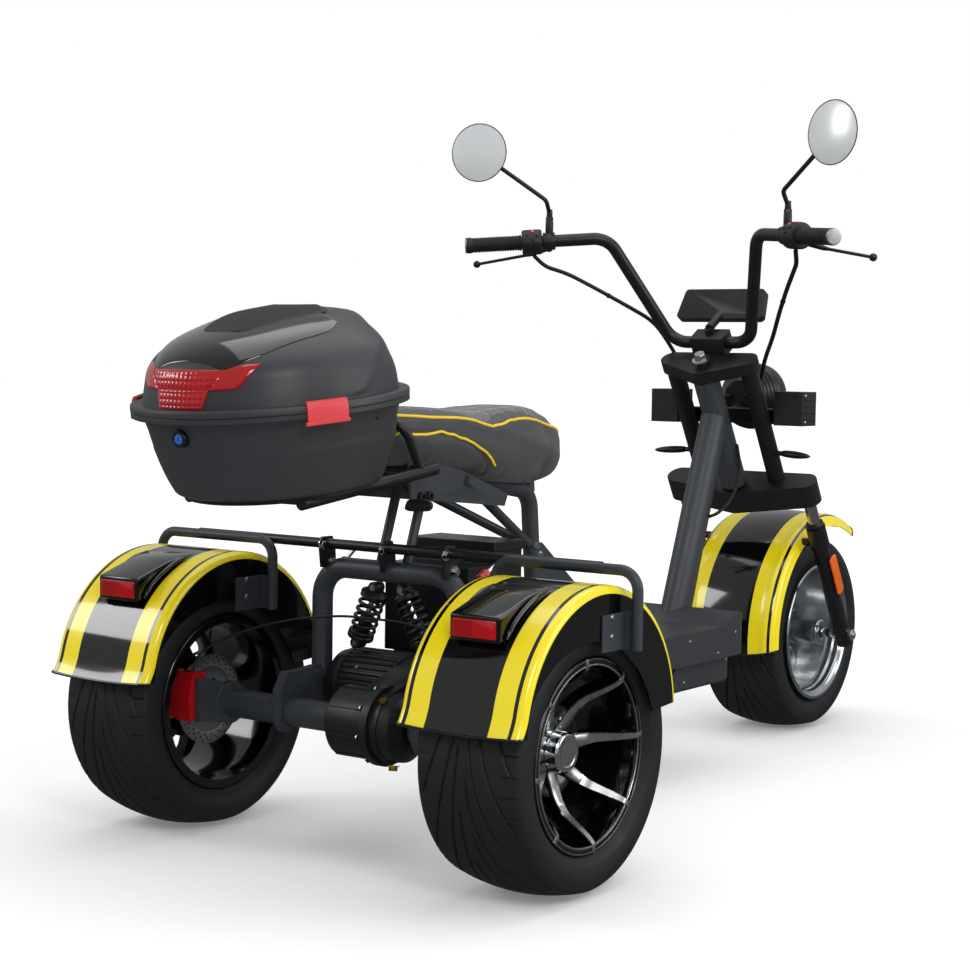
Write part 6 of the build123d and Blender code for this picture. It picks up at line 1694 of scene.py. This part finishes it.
HALF_LINE = [
    (330, -76, 303.8), (326, -62, 336), (296, -30, 362), (246, 0, 384), (190, 24, 400), (130, 40, 411),
    (66, 48, 418),
]
BRAKE_LINE = [(-x, forward, z) for x, forward, z in HALF_LINE] + HALF_LINE[::-1]
LEFT_LOOM = [
    (-330, 1034, 1127), (-318, 1062, 1104), (-284, 1102, 1090), (-238, 1142, 1060), (-186, 1196, 1022),
    (-142, 1258, 984), (-114, 1292, 926), (-98, 1330, 868), (-72, 1372, 828), (-40, 1400, 812),
    (-20, 1411, 812),
]
RIGHT_LOOM = [
    (330, 1034, 1127), (320, 1060, 1102), (290, 1104, 1084), (252, 1152, 1052), (206, 1208, 1000),
    (168, 1256, 950), (134, 1286, 902), (104, 1328, 862), (72, 1368, 830), (40, 1400, 814), (20, 1411, 812),
]
FRAME_LOOM = [
    (35, 1347, 702), (39, 1358, 655), (41, 1342, 604), (40, 1303, 566), (36, 1256, 545), (35.2, 1224, 541),
]


def make_cords():
    """Brake line and looms in ribbed sleeves, with ties round the looms of the steering."""
    piece(
        "brake_hose", "chassis", [(SLEEVE, corrugated(BRAKE_LINE, 2.5, 2.4))],
        ["brake_line"], smooth=60,
    )
    piece(
        "loom_frame", "chassis", [(SLEEVE, corrugated(FRAME_LOOM, 4.0))], ["frame_loom"],
        smooth=60,
    )
    looms = joined(corrugated(LEFT_LOOM, 5.0), corrugated(RIGHT_LOOM, 5.0))
    ties = []
    for route, spots in ((LEFT_LOOM, (3, 6)), (RIGHT_LOOM, (3, 6))):
        line = from_axle(route)
        for k in spots:
            ahead = line[k + 1] - line[k]
            middle = line[k] + ahead * 0.5
            ties.append(lathe([(-2, 5.0), (-2, 6.0), (2, 6.0), (2, 5.0)], middle, ahead, 24, closed=True))
    piece(
        "loom_steering", "steering", [(SLEEVE, looms), (BLACK_ABS, joined(*ties))],
        ["steering_looms"], smooth=60,
    )


make_cords()
make_reflector()


# ---------------------------------------------------------------- fork, handlebar and lamps
STEERING_FINISHED = [
    ("top_clamp", "cast_black", 1.6), ("lower_crown", "cast_black", 2.0), ("handlebar", "black_paint", 0.0),
    ("fork_tubes", "black_paint", 0.0), ("fork_sliders", "black_paint", 1.2),
    ("display", "black_plastic", 2.0), ("aux_lamps", "black_plastic", 5.0),
    ("front_caliper", "caliper_red", 0.8), ("fork_stanchions", "polished_alloy", 0.0),
]
for node, slot_name, bevel in STEERING_FINISHED:
    finished(node, "steering", bevel)

# up the fork to the lamps' bar, and in from the bar's end to the lever perches, in millimetres
LAMP_BAR_UP = 605
PERCH = 188
BAR_MIDDLE = fork_point(0, 797, 30)
BAR_HIGH = np.array([190, -153, 233.0])
BAR_END = np.array([457, -332, 211.0])
ALONG_GRIP = (BAR_END - BAR_HIGH) / np.linalg.norm(BAR_END - BAR_HIGH)
AHEAD_OF_GRIP = np.array([-ALONG_GRIP[1], ALONG_GRIP[0], 0]) / np.hypot(ALONG_GRIP[0], ALONG_GRIP[1])


def on_bar(sign, inward, ahead=0.0, above=0.0):
    """A point in from the end of the bar, in millimetres, and off its middle line."""
    offset = BAR_END - ALONG_GRIP * inward + AHEAD_OF_GRIP * ahead + np.array([0, 0, above])
    return BAR_MIDDLE + offset * [sign, 1, 1] * MM


def make_grips():
    """Ribbed rubber grips with a flange at each end and a pale end cap."""
    rubber, caps = [], []
    for sign in SIDES.values():
        axis = ALONG_GRIP * [sign, 1, 1]
        s = np.arange(6, 112, 1.0)
        ribs = np.stack([s, 16.6 + 0.9 * np.clip(1.6 * np.sin(2 * np.pi * s / 6.0), -1, 1)], 1)
        profile = np.vstack([
            [(0, 14.2), (0, 18), (4, 18), (5, 16.4)], ribs,
            [(113, 16.6), (115, 18), (124, 18), (125, 17), (125, 14.2)],
        ])
        rubber.append(lathe(profile, on_bar(sign, 125), axis, 40))
        cap = softened([
            (-3, 0), (-3, 13.9), (0.2, 13.9), (0.2, 17.6), (3.4, 17.2), (3.9, 15.4), (3.9, 0),
        ], 0.5, 3)
        caps.append(lathe(cap, on_bar(sign, 0), axis, 40))
    piece(
        "grips_ribbed", "steering", [(GRIP_RUBBER, joined(*rubber)), (DISC_STEEL, joined(*caps))],
        ["grips"], smooth=40,
    )


def make_switches():
    """Switch housings in two halves with buttons, the lever perches with their screws, and the mirror
    bosses."""
    shells, perches, trims, buttons = [], [], [], []
    for sign in SIDES.values():
        axis = ALONG_GRIP * [sign, 1, 1]
        half = softened([
            (0, 14.3), (0, 25), (3, 28.4), (21, 29), (22, 27.8), (24, 27.8), (25, 29), (43, 28.4), (46, 25),
            (46, 14.3),
        ], 1.0, 3)
        shells.append(lathe(half, on_bar(sign, 172), axis, 48))
        band = softened([(0, 14.3), (0, 18.6), (2, 20), (27, 20), (28, 18.6), (28, 14.3)], 0.8, 3)
        perches.append(lathe(band, on_bar(sign, 202), axis, 40))
        middle = on_bar(sign, PERCH)
        perches.append(pipe(np.stack([middle, on_bar(sign, PERCH, 33.3, -14)]), 9.8 * MM, 28))
        boss = softened([(14, 0), (14, 9), (44, 9), (46, 8), (46, 0)], 0.8, 3)
        perches.append(lathe(boss, middle, (0, 0, 1), 28))
        for inward, angle in ((180, 0.9), (196, 0.9), (180, 2.4), (196, 2.4)):
            away = AHEAD_OF_GRIP * [sign, 1, 1] * np.cos(angle) + np.array([0, 0, np.sin(angle)])
            trims.append(screw(on_bar(sign, inward) + away * 19.4 * MM, away, 3.2 * MM, 2.4 * MM))
        for inward, angle, tone in ((160, 2.6, 0), (148, 2.9, 0), (138, 2.5, 0), (150, 2.2, 1)):
            away = AHEAD_OF_GRIP * [sign, 1, 1] * np.cos(angle) + np.array([0, 0, np.sin(angle)])
            knob = softened([(-3, 0), (-3, 4.6), (2.6, 4.4), (3.4, 3.2), (3.4, 0)], 0.4, 3)
            made = lathe(knob, on_bar(sign, inward) + away * 27.6 * MM, away, 24)
            (buttons if tone else trims).append(made)
    parts = [
        (CAST_BLACK, joined(*shells, *perches)), (BLACK_ABS, joined(*trims)),
        (CORAL_ACETAL, joined(*buttons)),
    ]
    piece("switch_housings", "steering", parts, ["controls"], smooth=40)


def make_levers():
    """Cast levers: flattened blades that narrow to a ball, on a pivot screw."""
    parts, pins = [], []
    for sign in SIDES.values():
        pivot, tip = on_bar(1, PERCH, 40, -14), BAR_MIDDLE + np.array([500, -232, 174]) * MM
        knuckle = pivot + (tip - pivot) * 0.3 + np.array([0, 9, -3]) * MM
        line = bent([pivot, knuckle, tip], [80 * MM], 24) * [sign, 1, 1]
        line = curve(line, 60)
        t = np.linspace(0, 1, 60)
        wide = np.interp(t, [0, 0.1, 0.25, 0.7, 1], [7, 7, 6.6, 5.2, 4.4]) * MM
        parts.append(skin(along(line, circle(1.0, 24) * [1.0, 0.8], wide)))
        ball = np.linspace(-np.pi / 2, np.pi / 2, 14)
        parts.append(
            turned(
                np.stack([8.5 * np.sin(ball), 8.5 * np.cos(ball)], 1) * MM, tip * [sign, 1, 1],
                (sign, 0.2, 0), 28,
            )
        )
        pins.append(bolt(pivot * [sign, 1, 1] + np.array([0, 0, 6.4 * MM]), (0, 0, 1), 4.5 * MM, 3.4 * MM))
    piece(
        "levers_cast", "steering", [(BLACK_COAT, joined(*parts)), (CHROME, joined(*pins))],
        ["levers"], smooth=44,
    )


def make_mirrors():
    """Round mirrors: bent stalks with a nut at the foot, dished backs with a rolled rim, and flat glass."""
    stalks, backs, glasses = [], [], []
    for sign in SIDES.values():
        base = on_bar(sign, PERCH, 0, 46.3)
        bend = BAR_MIDDLE + np.array([sign * 298, -247, 315]) * MM
        centre = BAR_MIDDLE + np.array([sign * 440, -314, 423]) * MM
        turn = np.radians(16.0)
        face = np.array([-sign * np.sin(turn), -np.cos(turn), 0])
        line = bent([
            base, base + np.array([0, 0, 16 * MM]), bend, centre - face * 7 * MM,
        ], [10 * MM, 16 * MM])
        stalks.append(pipe(line, 4.9 * MM, 20, up=(0.2, 1, 0.1)))
        stalks.append(hexagon(base, (0, 0, 1), 8.6 * MM, 9 * MM))
        collar = softened([(9, 0), (9, 7), (24, 6.6), (26, 5.2), (26, 0)], 0.6, 3)
        stalks.append(lathe(collar, base, (0, 0, 1), 24))
        dish = softened([
            (-12, 0), (-12, 38), (-10, 54), (-6, 62), (-1.6, 66.3), (-0.4, 66.4), (0, 65.6), (0, 64.6),
            (-0.4, 64.3), (-2.4, 64.3), (-2.4, 0),
        ], 0.7, 3)
        backs.append(lathe(dish, centre, face, 96))
        # painted reflection: the mirror glass is pale grey where it would mirror the studio
        glasses.append(lathe([
            (-2.1, 0), (-2.1, 64.1), (-0.5, 64.1), (-0.3, 63.6), (-0.3, 0),
        ], centre, face, 96))
    piece(
        "mirror_bodies", "steering", [(BLACK_COAT, joined(*stalks)), (BLACK_ABS, joined(*backs))],
        ["mirrors"], smooth=40,
    )
    piece(
        "mirror_faces", "steering", [(PALE_GLASS_PAINTED_REFLECTION, joined(*glasses))], ["mirror_glass"],
        smooth=30,
    )


def make_lamps():
    """Finned headlamp on its bar, louvred guards and lenses of the side lamps, and leaf-shaped indicators."""
    centre = from_axle((0, 1478, 812))
    bowl = [(-62, 0), (-62, 38), (-58, 42)]
    for k in range(6):
        bowl += [
            (-54 + 8 * k, 46 + 5.2 * k), (-51 + 8 * k, 50 + 5.2 * k), (-48.5 + 8 * k, 50 + 5.2 * k),
            (-48 + 8 * k, 46 + 5.2 * k),
        ]
    bowl += [(-2, 76), (2, 78), (31, 78), (34, 76), (34, 70), (30, 68)]
    shell = lathe(softened(bowl, 0.6, 3), centre, (0, 1, 0), 72)
    # painted reflection: the headlamp glass is the same pale glass
    glass = lathe([(22, 0), (30, 20), (31.5, 50), (30, 68.5), (20, 68.5)], centre, (0, 1, 0), 64)
    plate_middle = fork_point(0, LAMP_BAR_UP, 23.3)
    bar = [(-118, -20), (118, -20), (118, 20), (-118, 20)]
    bracket = set_plate(bar, 6, 0.8, plate_middle + FORK_AHEAD * 3 * MM, [1, 0, 0], FORK_UP, -FORK_AHEAD)
    stem = pipe(np.stack([plate_middle + FORK_AHEAD * 2 * MM, centre]), 13.6 * MM, 28)
    piece(
        "headlamp_finned", "steering", [(BLACK_ABS, joined(shell, bracket, stem)), (PALE_GLASS_PAINTED_REFLECTION, glass)],
        ["headlamp"], smooth=36,
    )
    middle = fork_point(0, LAMP_BAR_UP, 23)
    lenses, louvres, screws = [], [], []
    for sign in SIDES.values():
        box = middle + np.array([sign * 162.5, 14, 19]) * MM
        for k in range(4):
            louvre = mm_plate(
                [(-24, -1.6), (24, -1.6), (20, 1.6), (-20, 1.6)], (0, 0, 0), (0, 1, 0), (0, 0, 1), 1.8, 0.5,
            )
            louvres.append(
                (louvre[0] * [sign, 1, 1] + box + np.array([sign * 35.3, 0, -24 + 15 * k]) * MM, louvre[1])
            )
        lenses.append(
            # painted reflection: the side lamps' lenses are the same pale glass
            lathe([
                (0, 0), (2.4, 8), (2.8, 17), (1.2, 26), (-2, 27),
            ], box + np.array([0, 36, 0]) * MM, (0, 1, 0), 40)
        )
        for z in (-30, 30):
            screws.append(screw(box + np.array([sign * 35.2, -18, z]) * MM, (sign, 0, 0), 3.4 * MM, 2.2 * MM))
    piece("side_lamp_guards", "steering", [
        (BLACK_ABS, joined(*louvres)), (PALE_GLASS_PAINTED_REFLECTION, joined(*lenses)), (CHROME, joined(*screws)),
    ], [])
    leaves, ambers = [], []
    for sign in SIDES.values():
        stalk = fork_point(sign * 116.3, 519)
        root = stalk + np.array([sign * 16, 0, 0]) * MM
        tip = root + np.array([sign * 72, -14, -4]) * MM
        leaves.append(
            pipe(np.stack([stalk, root + np.array([sign * 3, 0, 0]) * MM]), np.array([6, 5.4]) * MM, 20)
        )
        s = np.linspace(0, 1, 24)
        line = root + (tip - root) * s[:, None]
        wide = 15.6 * np.sqrt(np.clip(1 - (2 * s - 0.7) ** 2 / 1.75, 0.02, 1)) * MM
        leaves.append(skin(along(line, circle(1.0, 28) * [1, 0.55], wide)))
        ambers.append(
            skin(along(line[3:-2] + np.array([0, 3.2 * MM, 0]), circle(1.0, 28) * [0.92, 0.42], wide[3:-2]))
        )
    piece(
        "indicator_leaves", "steering", [(BLACK_ABS, joined(*leaves)), (AMBER, joined(*ambers))],
        ["indicators"], smooth=44,
    )


AXLE_END = 0.1852


def make_fork_trim():
    """Front axle with domed nuts, pinch screws, dust seals, the stem bolt, and amber side reflectors."""
    steel, black, amber = [], [], []
    steel.append(pipe(np.stack([FRONT_AXLE - [0.197, 0, 0], FRONT_AXLE + [0.197, 0, 0]]), 9.9 * MM, 28))
    for sign in SIDES.values():
        out = (sign, 0, 0)
        steel.append(hexagon(FRONT_AXLE + [sign * AXLE_END, 0, 0], out, 14.8 * MM, 8.8 * MM))
        dome = np.linspace(0, np.pi / 2, 8)
        cap = np.stack([9 + 5 * np.sin(dome), 9.6 * np.cos(dome)], 1)
        steel.append(turned(np.vstack([[(0, 9.6)], cap]) * MM, FRONT_AXLE + [sign * AXLE_END, 0, 0], out, 28))
        for up in (330, 318):
            ring = rounded([(-4, 14.8), (4, 14.8), (4, 20), (-4, 22)], 1.2, 4)
            black.append(lathe(ring, fork_point(sign * FORK_LEG_X, up - 6), FORK_UP, 36, closed=True))
        black.append(screw(fork_point(sign * FORK_LEG_X, -4, -19), -FORK_AHEAD, 5 * MM, 4 * MM))
        ring = rounded([(-15, -52), (15, -52), (15, 52), (-15, 52)], 9, 6)
        amber.append(set_plate(ring, 5, 1.6, fork_point(sign * 188, 180), FORK_AHEAD, FORK_UP, out))
        black.append(pipe(np.stack([
            fork_point(sign * 180, 160), fork_point(sign * 188.5, 160),
        ]), 6 * MM, 20, up=(0, 1, 0)))
    steel.append(bolt(fork_point(0, 786, -32), FORK_UP, 14 * MM, 15 * MM))
    piece("fork_trim", "steering", [
        (CHROME, joined(*steel)), (BLACK_ABS, joined(*black)), (AMBER, joined(*amber)),
    ], ["front_axle"], smooth=40)


make_grips()
make_switches()
make_levers()
make_mirrors()
make_lamps()
make_fork_trim()


# ---------------------------------------------------------------- floor
floor_paint, floor_tree, floor_shader = finish("pale_studio_floor", "F7F7F7", 0.9)
# a paper sweep under the machine, partly painted light: it glows white further out, and is a dim painted
# reflection where polished parts mirror it
path = add_node(floor_tree, "LightPath")
place = add_node(floor_tree, "TexCoord").outputs["Object"]
away = add_node(floor_tree, "VectorMath", {0: place}, operation="LENGTH")
rise = add_node(floor_tree, "MapRange", {0: away.outputs["Value"], 1: 1.2, 2: 4.5, 3: 0.16, 4: 0.62})
# painted light: for camera rays the floor glows more the further it lies from the machine
painted_floor_glow = add_node(floor_tree, "Emission", {"Color": (1, 1, 1, 1), "Strength": rise.outputs[0]})
both = add_node(floor_tree, "AddShader", {0: floor_shader.outputs[0], 1: painted_floor_glow.outputs[0]})
# painted reflection: glossy rays see this dim glow in place of the lit floor
painted_dark_reflection = add_node(floor_tree, "Emission", {"Color": (1, 1, 1, 1), "Strength": 0.10})
lit = add_node(
    floor_tree, "MixShader",
    {0: path.outputs["Is Camera Ray"], 1: floor_shader.outputs[0], 2: both.outputs[0]},
)
choice = add_node(
    floor_tree, "MixShader", {0: path.outputs["Is Glossy Ray"], 1: lit.outputs[0], 2: painted_dark_reflection.outputs[0]},
)
floor_out = next(n for n in floor_tree.nodes if n.type == "OUTPUT_MATERIAL")
floor_tree.links.new(choice.outputs[0], floor_out.inputs["Surface"])
floor_mesh = bpy.data.meshes.new("floor")
reach = 40.0
floor_mesh.from_pydata([
    (-reach, -reach, 0), (reach, -reach, 0), (reach, reach, 0), (-reach, reach, 0),
], [], [(0, 1, 2, 3)])
floor_mesh.materials.append(floor_paint)
floor = bpy.data.objects.new("floor", floor_mesh)
bpy.context.scene.collection.objects.link(floor)
